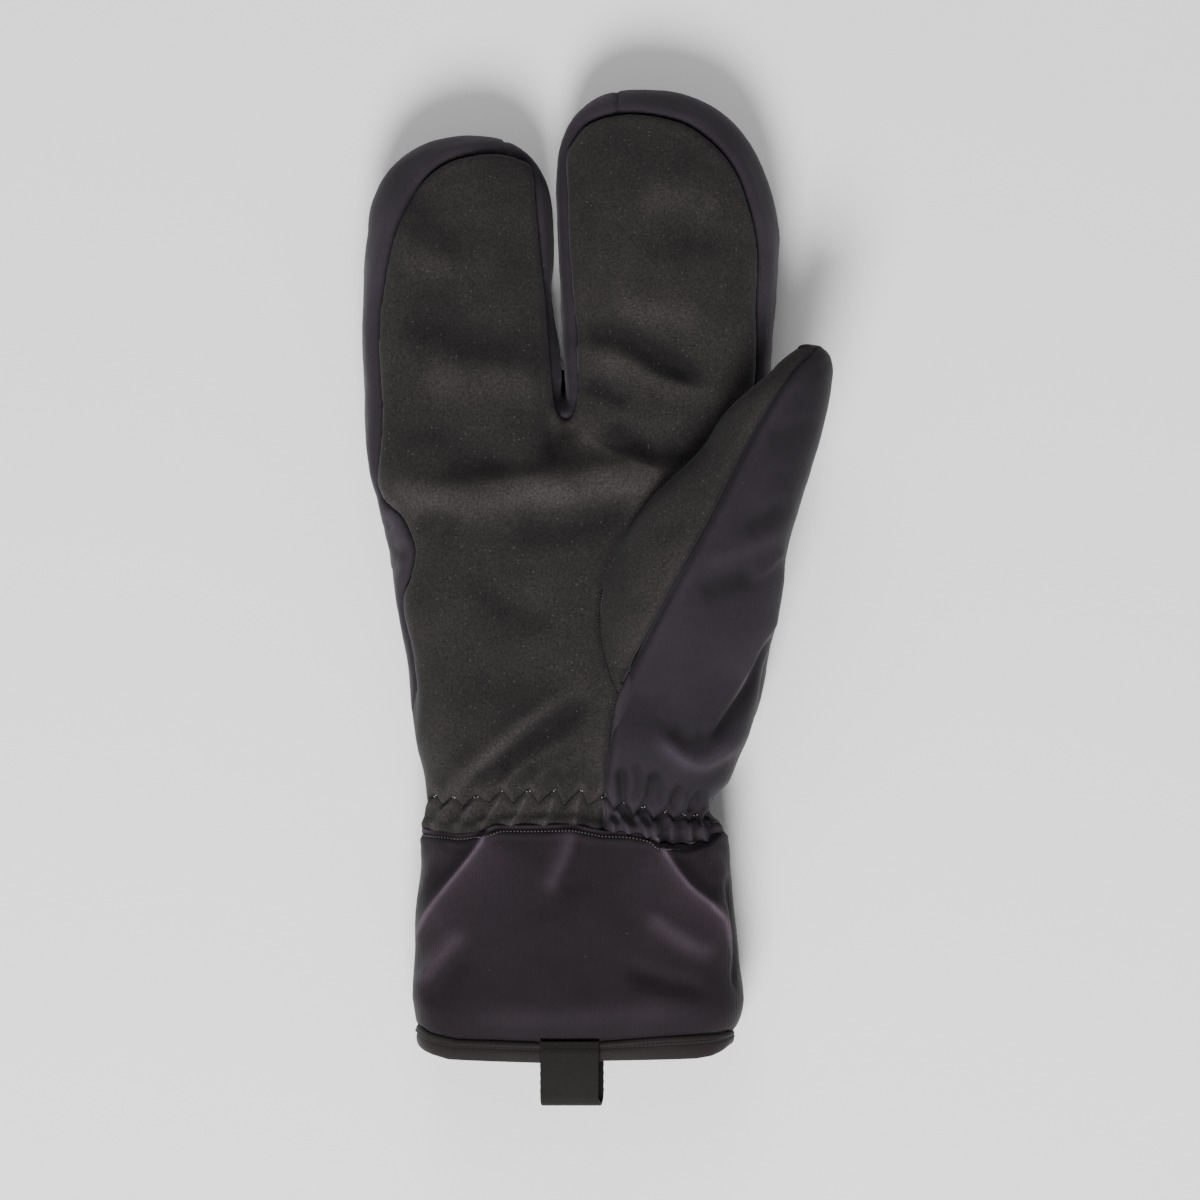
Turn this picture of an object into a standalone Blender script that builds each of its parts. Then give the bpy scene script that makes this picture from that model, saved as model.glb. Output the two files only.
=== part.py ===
"""A padded three-finger winter glove for the right hand, lying on its back with the palm up.

The fingers point to +Y, the thumb to +X and the palm to +Z. The back of the glove is pressed flat
at Z = 0. Lengths are in metres. Across the glove, the tables give shares of HAND_WIDTH, measured
from the glove's middle. Along it, they give shares of HAND_LENGTH, measured from the wrist seam.
"""

import math
from collections import namedtuple

import bmesh
import bpy
import numpy as np
from mathutils import Vector

MM = 0.001

# Driving sizes
HAND_LENGTH = 214.6 * MM  # wrist seam to the end of the long finger pocket
HAND_WIDTH = 120.4 * MM  # across the two finger pockets
HAND_THICKNESS = 40.0 * MM  # back to palm, over the padding
THUMB_THICKNESS = 40.0 * MM
CUFF_LENGTH = 60.0 * MM  # wrist seam to the hem
CUFF_THICKNESS = 42.0 * MM  # the cuff's mouth, back to palm
HEM_HEIGHT = 6.1 * MM
HEM_PROUD = 0.5 * MM  # how far the hem stands out from the cuff
LOOP_REACH = 13.5 * MM  # how far the pull loop hangs below the hem
LOOP_WIDTH = 18.3 * MM
RIBBON = 1.2 * MM
LOOP_EASE = 0.3 * MM  # how far each leg of the loop stands off the hem, past the seam gap
WALL = 2.2 * MM  # padded cloth of the hand and the thumb
CUFF_WALL = 2.0 * MM
HEM_WALL = 2.8 * MM
SEAM_GAP = 0.3 * MM  # between pieces that are sewn together
EDGE_ROLL = 25.0 * MM  # how far in from its side edge the padded hand reaches full height
PALM_MARGIN = 3.4 * MM  # from the side edge to where the palm sheet turns down
PLEAT_DEPTH = 2.4 * MM
SIDE_SEAM_HEIGHT = 17.0 * MM  # the seam between palm and back, where it runs down the side

# Places that follow from the sizes
WRIST_Y = (CUFF_LENGTH + HEM_HEIGHT + LOOP_REACH - HAND_LENGTH) / 2
HEM_Y = WRIST_Y - CUFF_LENGTH
MIDLINE = -0.071  # the slit between the finger pockets, as a share of HAND_WIDTH
CROTCH_PALM = 0.555  # where the slit ends on the palm, as a share of HAND_LENGTH
CROTCH_BACK = 0.622  # where it ends on the back
SIDE_HEIGHT = 0.45  # the side edge's height, as a share of the section's height
BOTTOM_PRESS = 1.10  # how much further the round back would reach without the floor
ROUNDNESS = 2.6  # the exponent of the rolled edges
CROWN = 0.06  # how much the palm rises from its edges to its middle

# Mesh density
PALM_COLUMNS = 12  # on each side of the midline: one pleat takes two
BACK_COLUMNS = 4
SIDE_STEPS = 5  # also the rows of the web between the finger pockets
DOME_ANGLES = (20, 40, 57, 71, 82)
THUMB_COLUMNS = 18
CUFF_COLUMNS = 22

# Sections of the hand: places along it, its two side edges and its height as a share of
# HAND_THICKNESS.
Section = namedtuple("Section", "along left right height")
BODY = (
    Section(0.000, -0.415, 0.306, 0.88),
    Section(0.030, -0.406, 0.274, 0.84),
    Section(0.066, -0.411, 0.324, 0.93),
    Section(0.107, -0.427, 0.353, 1.00),
    Section(0.174, -0.444, 0.406, 1.03),
    Section(0.242, -0.459, 0.427, 1.03),
    Section(0.309, -0.484, 0.437, 1.00),
    Section(0.391, -0.505, 0.442, 0.97),
    Section(0.445, -0.526, 0.440, 0.95),
    Section(0.485, -0.546, 0.436, 0.93),
    Section(0.555, -0.555, 0.430, 0.90),
    Section(0.622, -0.559, 0.424, 0.87),
)
LEFT_POCKET = (
    Section(0.555, -0.555, -0.080, 0.90),
    Section(0.622, -0.559, -0.081, 0.87),
    Section(0.661, -0.562, -0.089, 0.86),
    Section(0.715, -0.560, -0.104, 0.85),
    Section(0.769, -0.557, -0.102, 0.84),
    Section(0.809, -0.550, -0.102, 0.82),
)
RIGHT_POCKET = (
    Section(0.555, -0.075, 0.430, 0.90),
    Section(0.622, -0.076, 0.424, 0.87),
    Section(0.661, -0.081, 0.427, 0.87),
    Section(0.715, -0.086, 0.435, 0.86),
    Section(0.769, -0.088, 0.442, 0.85),
    Section(0.796, -0.090, 0.444, 0.84),
)
# The round end of each finger pocket: where it ends, how far its middle drifts across on the
# way there, and how square it is.
Dome = namedtuple("Dome", "tip drift squareness")
LEFT_DOME = Dome(0.938, 0.019, 2.2)
RIGHT_DOME = Dome(1.000, -0.055, 2.5)
DOME_PROFILE = 2.4  # the exponent of a pocket's end, seen from the side

# Sections of the thumb: heights as shares of THUMB_THICKNESS.
ThumbSection = namedtuple("ThumbSection", "along left right middle half")
THUMB = (
    ThumbSection(0.120, 0.143, 0.312, 0.60, 0.25),
    ThumbSection(0.182, 0.054, 0.377, 0.68, 0.39),
    ThumbSection(0.242, 0.018, 0.416, 0.73, 0.47),
    ThumbSection(0.309, 0.011, 0.440, 0.78, 0.50),
    ThumbSection(0.378, 0.045, 0.461, 0.85, 0.50),
    ThumbSection(0.445, 0.131, 0.495, 0.93, 0.46),
    ThumbSection(0.512, 0.252, 0.531, 1.00, 0.40),
    ThumbSection(0.553, 0.300, 0.548, 1.03, 0.37),
    ThumbSection(0.580, 0.341, 0.558, 1.04, 0.35),
    ThumbSection(0.600, 0.384, 0.563, 1.05, 0.33),
    ThumbSection(0.614, 0.416, 0.566, 1.05, 0.30),
    ThumbSection(0.626, 0.437, 0.565, 1.05, 0.26),
    ThumbSection(0.638, 0.463, 0.558, 1.05, 0.20),
    ThumbSection(0.646, 0.484, 0.541, 1.05, 0.12),
)
THUMB_ROUNDNESS = 0.92  # the power of its section's sine and cosine: 1 would be an ellipse
THUMB_TIP = ThumbSection(0.651, 0.509, 0.509, 1.05, 0.0)

# Seams, seen from above. The palm panel's edge goes round from the left of the wrist.
SeamPoint = namedtuple("SeamPoint", "across along")
LEFT_SEAM = (
    SeamPoint(-0.470, -0.030),
    SeamPoint(-0.470, 0.080),
    SeamPoint(-0.440, 0.157),
    SeamPoint(-0.447, 0.235),
    SeamPoint(-0.471, 0.307),
    SeamPoint(-0.449, 0.343),
    SeamPoint(-0.437, 0.381),
    SeamPoint(-0.466, 0.420),
    SeamPoint(-0.517, 0.449),
    SeamPoint(-0.529, 0.478),
    SeamPoint(-0.519, 0.559),
    SeamPoint(-0.526, 0.627),
    SeamPoint(-0.525, 0.665),
    SeamPoint(-0.519, 0.711),
    SeamPoint(-0.493, 0.788),
    SeamPoint(-0.444, 0.853),
    SeamPoint(-0.391, 0.889),
    SeamPoint(-0.331, 0.907),
    SeamPoint(-0.244, 0.915),
    SeamPoint(-0.182, 0.908),
    SeamPoint(-0.146, 0.892),
    SeamPoint(-0.134, 0.839),
    SeamPoint(-0.122, 0.765),
    SeamPoint(-0.107, 0.700),
    SeamPoint(-0.100, 0.647),
    SeamPoint(-0.095, 0.593),
    SeamPoint(-0.086, 0.564),
)
CROTCH_SEAM = (SeamPoint(-0.071, 0.554),)
RIGHT_SEAM = (
    SeamPoint(-0.059, 0.562),
    SeamPoint(-0.049, 0.593),
    SeamPoint(-0.054, 0.647),
    SeamPoint(-0.061, 0.711),
    SeamPoint(-0.073, 0.797),
    SeamPoint(-0.078, 0.864),
    SeamPoint(-0.076, 0.909),
    SeamPoint(-0.057, 0.930),
    SeamPoint(-0.018, 0.953),
    SeamPoint(0.066, 0.966),
    SeamPoint(0.155, 0.963),
    SeamPoint(0.237, 0.947),
    SeamPoint(0.312, 0.909),
    SeamPoint(0.362, 0.860),
    SeamPoint(0.394, 0.784),
    SeamPoint(0.394, 0.699),
    SeamPoint(0.389, 0.605),
    SeamPoint(0.372, 0.540),
)
# The lower run of the palm's right edge, which the thumb's two panels share.
THUMB_SEAM = (
    SeamPoint(0.343, 0.496),
    SeamPoint(0.271, 0.415),
    SeamPoint(0.189, 0.330),
    SeamPoint(0.107, 0.242),
    SeamPoint(0.052, 0.182),
)
THUMB_SEAM_TOP = (
    SeamPoint(0.526, 0.670),
    SeamPoint(0.518, 0.640),
    SeamPoint(0.493, 0.628),
    SeamPoint(0.456, 0.605),
    SeamPoint(0.399, 0.554),
)
HEEL_SEAM = (
    SeamPoint(0.037, 0.131),
    SeamPoint(0.025, 0.066),
    SeamPoint(0.018, 0.000),
    SeamPoint(0.018, -0.030),
)
HEEL_TOP = 0.362  # where the heel's cloth ends under the thumb, as a share of HAND_LENGTH
BEYOND = 0.8  # a place clear of the glove, as a share of HAND_WIDTH

# Folds of the palm sheet: the two ends of each, its half width as a share of HAND_WIDTH and its
# rise as a share of HAND_THICKNESS, below zero for a valley.
Fold = namedtuple("Fold", "across_1 along_1 across_2 along_2 width rise")
PALM_FOLDS = (
    Fold(-0.500, 0.465, -0.330, 0.451, 0.050, 0.040),
    Fold(-0.330, 0.451, -0.080, 0.451, 0.050, 0.045),
    Fold(-0.080, 0.451, 0.150, 0.490, 0.045, 0.040),
    Fold(-0.330, 0.505, -0.210, 0.484, 0.050, -0.035),
    Fold(-0.040, 0.640, 0.220, 0.600, 0.060, -0.040),
    Fold(-0.010, 0.525, 0.190, 0.480, 0.040, -0.040),
    Fold(-0.320, 0.066, -0.120, 0.170, 0.040, 0.035),
    Fold(-0.290, 0.058, -0.060, 0.143, 0.035, -0.030),
    Fold(-0.440, 0.410, -0.380, 0.395, 0.030, -0.035),
)

# Gathers at the elastic: how deep the pleats are at places along the hand.
Gather = namedtuple("Gather", "along depth")
GATHERS = (
    Gather(0.000, 0.35),
    Gather(0.022, 0.85),
    Gather(0.042, 1.00),
    Gather(0.062, 0.75),
    Gather(0.090, 0.25),
    Gather(0.125, 0.00),
    Gather(1.000, 0.00),
)

# Sections of the cuff: places along CUFF_LENGTH from the wrist seam, side edges as for the hand,
# and heights as shares of CUFF_THICKNESS.
CUFF = (
    Section(0.000, -0.415, 0.306, 0.838),
    Section(0.050, -0.423, 0.319, 0.890),
    Section(0.200, -0.421, 0.326, 0.930),
    Section(0.420, -0.434, 0.334, 0.960),
    Section(0.640, -0.437, 0.343, 0.980),
    Section(0.850, -0.442, 0.356, 1.000),
    Section(0.930, -0.436, 0.350, 0.990),
    Section(1.000, -0.430, 0.333, 0.970),
)
# Creases of the cuff: along is a share of CUFF_LENGTH, counted from the wrist seam.
CUFF_FOLDS = (
    Fold(-0.232, -0.02, -0.322, 0.19, 0.028, -0.050),
    Fold(-0.322, 0.19, -0.415, 0.45, 0.028, -0.050),
    Fold(0.134, 0.04, 0.220, 0.26, 0.028, -0.050),
    Fold(0.220, 0.26, 0.319, 0.55, 0.028, -0.050),
    Fold(-0.057, 0.01, -0.112, 0.25, 0.040, -0.020),
    Fold(-0.343, 0.53, -0.420, 0.70, 0.035, -0.025),
    Fold(0.090, 0.48, 0.264, 0.60, 0.040, 0.020),
    Fold(0.000, 0.66, 0.247, 0.75, 0.040, -0.020),
)
CUFF_SPREAD = 0.15  # how far the cuff's columns are drawn in from its side edges
CUFF_ROWS = (0.0, 0.05, 0.13, 0.22, 0.32, 0.42, 0.53, 0.64, 0.75, 0.85, 0.93, 1.0)

# Rows of the hand below the slit.
BODY_ROWS = (
    0.0, 0.022, 0.042, 0.062, 0.09, 0.125, 0.165, 0.205, 0.245, 0.285, 0.325, 0.365, 0.405,
    0.44, 0.47, 0.50, 0.53, CROTCH_PALM,
)  # fmt: skip
POCKET_ROWS = (0.645, 0.675, 0.705, 0.74, 0.775)

# The hem's outer profile: how far down it, as a share of HEM_HEIGHT, and how far out of the
# cuff's surface, as a share of HEM_WALL.
HemRow = namedtuple("HemRow", "down out")
HEM_PROFILE = (
    HemRow(0.60, 0.00),
    HemRow(0.85, -0.25),
    HemRow(1.00, -0.55),
)
HEM_FULLEST = 0.25  # where the hem stands out by HEM_PROUD, as a share of HEM_HEIGHT

LOOP_MIDDLE = -0.056  # across, as a share of HAND_WIDTH


def across(share):
    return share * HAND_WIDTH


def along(share):
    return WRIST_Y + share * HAND_LENGTH


def smooth(rows, column, where):
    """The named column of a table at a place along it, on a cubic that keeps each row's value."""
    places = [row[0] for row in rows]
    values = [getattr(row, column) for row in rows]
    where = min(max(where, places[0]), places[-1])
    last = len(places) - 1
    i = min(max(int(np.searchsorted(places, where, side="right")) - 1, 0), last - 1)
    before = max(i - 1, 0)
    after = min(i + 2, last)
    step = places[i + 1] - places[i]
    slope_1 = (values[i + 1] - values[before]) / (places[i + 1] - places[before])
    slope_2 = (values[after] - values[i]) / (places[after] - places[i])
    t = (where - places[i]) / step
    return (
        (2 * t**3 - 3 * t**2 + 1) * values[i]
        + (t**3 - 2 * t**2 + t) * step * slope_1
        + (3 * t**2 - 2 * t**3) * values[i + 1]
        + (t**3 - t**2) * step * slope_2
    )


def smooth_line(points, steps):
    """Points on a curve through seam points, in metres."""
    ends = [points[0], *points, points[-1]]
    line = []
    for i in range(len(points) - 1):
        p0, p1, p2, p3 = (np.array(p) for p in ends[i : i + 4])
        for step in range(steps):
            t = step / steps
            line.append(
                0.5 * (2 * p1 + (p2 - p0) * t + (2 * p0 - 5 * p1 + 4 * p2 - p3) * t**2
                       + (3 * p1 - p0 - 3 * p2 + p3) * t**3)
            )  # fmt: skip
    line.append(np.array(points[-1]))
    return [(across(a), along(b)) for a, b in line]


def rolled(distance, roll):
    """Height of a rolled edge, from 0 at the edge to 1 at roll or further in."""
    left = max(0.0, 1 - distance / roll)
    return (1 - left**ROUNDNESS) ** (1 / ROUNDNESS)


def fold_height(folds, x_share, y_share, length_ratio):
    """The sum of the folds at a place, as a share of the thickness that they follow."""
    total = 0.0
    for fold in folds:
        ax = fold.across_1
        ay = fold.along_1 * length_ratio
        dx = fold.across_2 - ax
        dy = fold.along_2 * length_ratio - ay
        px = x_share - ax
        py = y_share * length_ratio - ay
        t = min(max((px * dx + py * dy) / (dx * dx + dy * dy), 0.0), 1.0)
        away = math.hypot(px - t * dx, py - t * dy)
        total += fold.rise * math.exp(-((away / fold.width) ** 2))
    return total


class HandSection:
    """One cross-section of the hand or of a finger pocket."""

    def __init__(self, place, left, right, height, shrink=1.0):
        self.place = place
        self.left = left
        self.right = right
        self.roll = min(EDGE_ROLL, (right - left) / 2)
        self.margin = min(PALM_MARGIN, PALM_MARGIN * self.roll / EDGE_ROLL)
        self.side = SIDE_HEIGHT * height
        self.rise = (height - self.side) * shrink
        self.drop = self.side * BOTTOM_PRESS * shrink

    def top(self, x):
        half = (self.right - self.left) / 2
        t = (x - (self.left + self.right) / 2) / half
        crown = 1 - CROWN * t * t
        near = min(x - self.left, self.right - x)
        z = self.side + self.rise * crown * rolled(near, self.roll)
        inland = min(1.0, max(0.0, near / self.roll))
        share_x = x / HAND_WIDTH
        fold = fold_height(PALM_FOLDS, share_x, self.place, HAND_LENGTH / HAND_WIDTH)
        return z + fold * HAND_THICKNESS * inland

    def bottom(self, x):
        near = min(x - self.left, self.right - x)
        return max(0.0, self.side - self.drop * rolled(near, self.roll))

    def flat_edge(self):
        """How far in from the side edge the back meets the floor, or would be lowest."""
        reach = min(1.0, self.side / self.drop)
        return self.roll * (1 - (1 - reach**ROUNDNESS) ** (1 / ROUNDNESS))

    def turn(self, step, toward_right):
        """A point of the side, from the palm sheet's edge (step 0) to the flat back."""
        start = math.acos((1 - self.margin / self.roll) ** (ROUNDNESS / 2))
        end = -math.acos((1 - self.flat_edge() / self.roll) ** (ROUNDNESS / 2))
        angle = start + (end - start) * step / SIDE_STEPS
        inward = self.roll * (1 - math.cos(angle) ** (2 / ROUNDNESS))
        x = self.right - inward if toward_right else self.left + inward
        if step == 0:
            return x, self.top(x)
        if step == SIDE_STEPS:
            return x, self.bottom(x)
        lift = abs(math.sin(angle)) ** (2 / ROUNDNESS)
        if angle < 0:
            return x, self.side - self.drop * lift
        half = (self.right - self.left) / 2
        t = (x - (self.left + self.right) / 2) / half
        return x, self.side + self.rise * (1 - CROWN * t * t) * lift


def section_of(rows, place):
    return HandSection(
        place,
        across(smooth(rows, "left", place)),
        across(smooth(rows, "right", place)),
        HAND_THICKNESS * smooth(rows, "height", place),
    )


def dome_section(rows, dome, angle):
    base = rows[-1]
    s = math.sin(math.radians(angle))
    narrow = (1 - s**dome.squareness) ** (1 / dome.squareness)
    thin = (1 - s**DOME_PROFILE) ** (1 / DOME_PROFILE)
    middle = (base.left + base.right) / 2 + dome.drift * s**1.3
    half = (base.right - base.left) / 2 * narrow
    place = base.along + (dome.tip - base.along) * s
    height = HAND_THICKNESS * base.height
    return HandSection(place, across(middle - half), across(middle + half), height, thin)


def crotch_dip(x, place):
    """How far the palm sinks just below the slit, so that it meets the two pockets' edges."""
    near = max(0.0, 1 - abs(x - across(MIDLINE)) / (0.5 * EDGE_ROLL))
    close = max(0.0, 1 - (CROTCH_PALM - place) / 0.06)
    return near**2 * close**2


class Skin:
    """Points and faces of the hand's outer surface."""

    def __init__(self):
        self.points = []
        self.faces = []

    def point(self, x, y, z):
        self.points.append((x, y, z))
        return len(self.points) - 1

    def band(self, low, high):
        """Faces between two rows of points, whose first points stand side by side."""
        for i in range(min(len(low), len(high)) - 1):
            self.faces.append((low[i], low[i + 1], high[i + 1], high[i]))
        if len(high) == len(low) + 1:
            self.faces.append((low[-1], high[-1], high[-2]))


def palm_sheet(skin, section, y, side_sign, inner, shared=None):
    """Palm points from the outer edge to the inner one, and pleats between them."""
    outer = section.right - section.margin if side_sign > 0 else section.left + section.margin
    depth = smooth(GATHERS, "depth", section.place)
    row = []
    for i in range(PALM_COLUMNS + 1):
        if i == PALM_COLUMNS and shared is not None:
            row.append(shared)
            continue
        x = outer + (inner - outer) * i / PALM_COLUMNS
        pleat = 0.5 - 0.5 * math.cos(math.pi * i)
        z = section.top(x) - PLEAT_DEPTH * depth * pleat
        row.append(skin.point(x, y, z))
    return row


def hand_skin():
    """The outer surface, as two halves that share the midline below the slit."""
    skin = Skin()
    middle = across(MIDLINE)
    rows = {-1: [], 1: []}

    def half_row(section, y, sign, bottom_centre, palm_centre, web):
        """A path: back from the midline, up the outer side, over the palm, down the inner side."""
        flat = section.flat_edge()
        outer = section.right - flat if sign > 0 else section.left + flat
        start = skin.points[bottom_centre][0]
        path = [bottom_centre]
        for i in range(1, BACK_COLUMNS + 1):
            x = start + (outer - start) * i / BACK_COLUMNS
            path.append(skin.point(x, y, section.bottom(x)))
        for step in range(SIDE_STEPS - 1, 0, -1):
            x, z = section.turn(step, sign > 0)
            path.append(skin.point(x, y, z))
        if palm_centre is not None:
            return path + palm_sheet(skin, section, y, sign, middle, palm_centre)
        inner = section.left + section.margin if sign > 0 else section.right - section.margin
        path += palm_sheet(skin, section, y, sign, inner)
        for step in range(1, web):
            x, z = section.turn(step, sign < 0)
            path.append(skin.point(x, y, z))
        return path

    # Below the slit, both halves share their ends.
    for place in BODY_ROWS:
        section = section_of(BODY, place)
        y = along(place)
        meeting = section_of(LEFT_POCKET, CROTCH_PALM).turn(0, True)[1]
        height = section.top(middle)
        height += (meeting - height) * crotch_dip(middle, place)
        bottom = skin.point(middle, y, section.bottom(middle))
        centre = skin.point(middle, y, height)
        for sign in (-1, 1):
            rows[sign].append(half_row(section, y, sign, bottom, centre, 0))

    # In the web the two inner sides meet a little lower in each row.
    for j in range(1, SIDE_STEPS + 1):
        place = CROTCH_PALM + (CROTCH_BACK - CROTCH_PALM) * j / SIDE_STEPS
        y = along(place)
        whole = section_of(BODY, place)
        pockets = {-1: section_of(LEFT_POCKET, place), 1: section_of(RIGHT_POCKET, place)}
        depth = pockets[-1].turn(j, True)[1]
        bottom = skin.point(middle, y, whole.bottom(middle))
        meeting = bottom if j == SIDE_STEPS else skin.point(middle, y, depth)
        for sign in (-1, 1):
            path = half_row(pockets[sign], y, sign, bottom, None, j)
            rows[sign].append(path + [meeting])

    # Above it each pocket is a ring of its own, closed at its end.
    for sign, table, dome in ((-1, LEFT_POCKET, LEFT_DOME), (1, RIGHT_POCKET, RIGHT_DOME)):
        sections = [section_of(table, place) for place in POCKET_ROWS]
        sections += [dome_section(table, dome, angle) for angle in (0, *DOME_ANGLES)]
        for section in sections:
            y = along(section.place)
            flat = section.flat_edge()
            x = section.left + flat if sign > 0 else section.right - flat
            bottom = skin.point(x, y, section.bottom(x))
            path = half_row(section, y, sign, bottom, None, SIDE_STEPS)
            rows[sign].append(path + [bottom])
        base = table[-1]
        tip_x = across((base.left + base.right) / 2 + dome.drift)
        tip = skin.point(tip_x, along(dome.tip), SIDE_HEIGHT * base.height * HAND_THICKNESS)
        last = rows[sign][-1]
        for i in range(len(last) - 1):
            skin.faces.append((last[i], last[i + 1], tip))

    for sign in (-1, 1):
        for low, high in zip(rows[sign], rows[sign][1:]):
            if sign < 0:
                skin.band(low, high)
            else:
                first = len(skin.faces)
                skin.band(low, high)
                skin.faces[first:] = [face[::-1] for face in skin.faces[first:]]
    rim = rows[-1][0] + rows[1][0][-2:0:-1]
    return skin, rim


def mesh_object(name, points, faces, material=None):
    """A mesh object whose faces point outward."""
    mesh = bpy.data.meshes.new(name)
    mesh.from_pydata([tuple(p) for p in points], [], [tuple(f) for f in faces])
    work = bmesh.new()
    work.from_mesh(mesh)
    bmesh.ops.recalc_face_normals(work, faces=work.faces)
    if work.calc_volume(signed=True) < 0:
        bmesh.ops.reverse_faces(work, faces=work.faces)
    work.to_mesh(mesh)
    work.free()
    obj = bpy.data.objects.new(name, mesh)
    bpy.context.scene.collection.objects.link(obj)
    if material is not None:
        mesh.materials.append(material)
    return obj


def as_cutter(obj):
    obj.hide_render = True
    obj.display_type = "WIRE"
    return obj


def outward_normals(points, faces, volume_rim):
    """Vertex normals of an open skin, pointing out of the closed shape that its rim completes."""
    work = bmesh.new()
    verts = [work.verts.new(p) for p in points]
    for face in faces:
        work.faces.new([verts[i] for i in face])
    cap = work.faces.new([verts[i] for i in volume_rim])
    bmesh.ops.recalc_face_normals(work, faces=work.faces)
    if work.calc_volume(signed=True) < 0:
        bmesh.ops.reverse_faces(work, faces=work.faces)
    bmesh.ops.delete(work, geom=[cap], context="FACES_ONLY")
    work.normal_update()
    normals = [vert.normal.copy() for vert in verts]
    work.free()
    return normals


def offset(points, normals, distance):
    return [tuple(Vector(p) + n * distance) for p, n in zip(points, normals)]


def wall_between(name, outer, inner, faces, rim):
    """A closed wall: the outer points, the inner ones and a rim that joins them."""
    count = len(outer)
    closed = [tuple(face) for face in faces]
    closed += [tuple(i + count for i in face[::-1]) for face in faces]
    for a, b in zip(rim, rim[1:] + rim[:1]):
        closed.append((a, b, b + count, a + count))
    return mesh_object(name, list(outer) + list(inner), closed)


def prism(name, outline, low, high):
    """A vertical prism over a closed outline, to cut along a seam."""
    count = len(outline)
    points = [(x, y, low) for x, y in outline] + [(x, y, high) for x, y in outline]
    faces = [tuple(range(count)), tuple(range(count, 2 * count))]
    for i in range(count):
        j = (i + 1) % count
        faces.append((i, j, j + count, i + count))
    return as_cutter(mesh_object(name, points, faces))


def grown(outline, distance):
    """The outline moved outward by a distance."""
    points = [Vector(p) for p in outline]
    count = len(points)
    area = sum(
        points[i].x * points[(i + 1) % count].y - points[(i + 1) % count].x * points[i].y
        for i in range(count)
    )
    turn = 1 if area > 0 else -1
    moved = []
    for i, point in enumerate(points):
        run = (points[(i + 1) % count] - points[i - 1]).normalized()
        moved.append((point.x + turn * run.y * distance, point.y - turn * run.x * distance))
    return moved


def carve(obj, cutter, operation="DIFFERENCE"):
    modifier = obj.modifiers.new(f"{operation.lower()}_{cutter.name}", "BOOLEAN")
    modifier.operation = operation
    modifier.object = cutter
    modifier.solver = "EXACT"


def settle(obj):
    """Turns the object's modifiers into plain mesh, and drops crumbs that a cut left."""
    bpy.context.view_layer.update()
    graph = bpy.context.evaluated_depsgraph_get()
    mesh = bpy.data.meshes.new_from_object(obj.evaluated_get(graph))
    obj.modifiers.clear()
    obj.data = mesh
    work = bmesh.new()
    work.from_mesh(mesh)
    islands = []
    left = set(work.verts)
    while left:
        stack = [left.pop()]
        island = set(stack)
        while stack:
            for edge in stack.pop().link_edges:
                for vert in edge.verts:
                    if vert in left:
                        left.discard(vert)
                        island.add(vert)
                        stack.append(vert)
        islands.append(island)
    largest = max(islands, key=len)
    crumbs = [vert for vert in work.verts if vert not in largest]
    bmesh.ops.delete(work, geom=crumbs, context="VERTS")
    work.to_mesh(mesh)
    work.free()


def copy_of(obj, name):
    other = bpy.data.objects.new(name, obj.data.copy())
    bpy.context.scene.collection.objects.link(other)
    return other


def thumb_rows():
    """Rings of the thumb's outer surface, each from the inner side over the palm side."""
    places = []
    for low, high in zip(THUMB, THUMB[1:]):
        parts = max(1, round((high.along - low.along) * HAND_LENGTH / (9 * MM)))
        places += [low.along + (high.along - low.along) * i / parts for i in range(parts)]
    places.append(THUMB[-1].along)
    rings = []
    for place in places:
        left = across(smooth(THUMB, "left", place))
        right = across(smooth(THUMB, "right", place))
        middle = THUMB_THICKNESS * smooth(THUMB, "middle", place)
        half = THUMB_THICKNESS * smooth(THUMB, "half", place)
        ring = []
        for i in range(THUMB_COLUMNS):
            angle = 2 * math.pi * i / THUMB_COLUMNS
            c = math.cos(angle)
            s = math.sin(angle)
            x = (left + right) / 2 - (right - left) / 2 * math.copysign(abs(c) ** THUMB_ROUNDNESS, c)
            z = middle + half * math.copysign(abs(s) ** THUMB_ROUNDNESS, s)
            ring.append((x, along(place), z))
        rings.append(ring)
    return rings


def thumb_skin():
    rings = thumb_rows()
    points = [p for ring in rings for p in ring]
    faces = []
    for row in range(len(rings) - 1):
        for i in range(THUMB_COLUMNS):
            j = (i + 1) % THUMB_COLUMNS
            a = row * THUMB_COLUMNS
            b = a + THUMB_COLUMNS
            faces.append((a + i, a + j, b + j, b + i))
    tip = len(points)
    middle = THUMB_THICKNESS * THUMB_TIP.middle
    points.append((across(THUMB_TIP.left), along(THUMB_TIP.along), middle))
    last = (len(rings) - 1) * THUMB_COLUMNS
    for i in range(THUMB_COLUMNS):
        faces.append((last + i, last + (i + 1) % THUMB_COLUMNS, tip))
    return points, faces, list(range(THUMB_COLUMNS))


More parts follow.
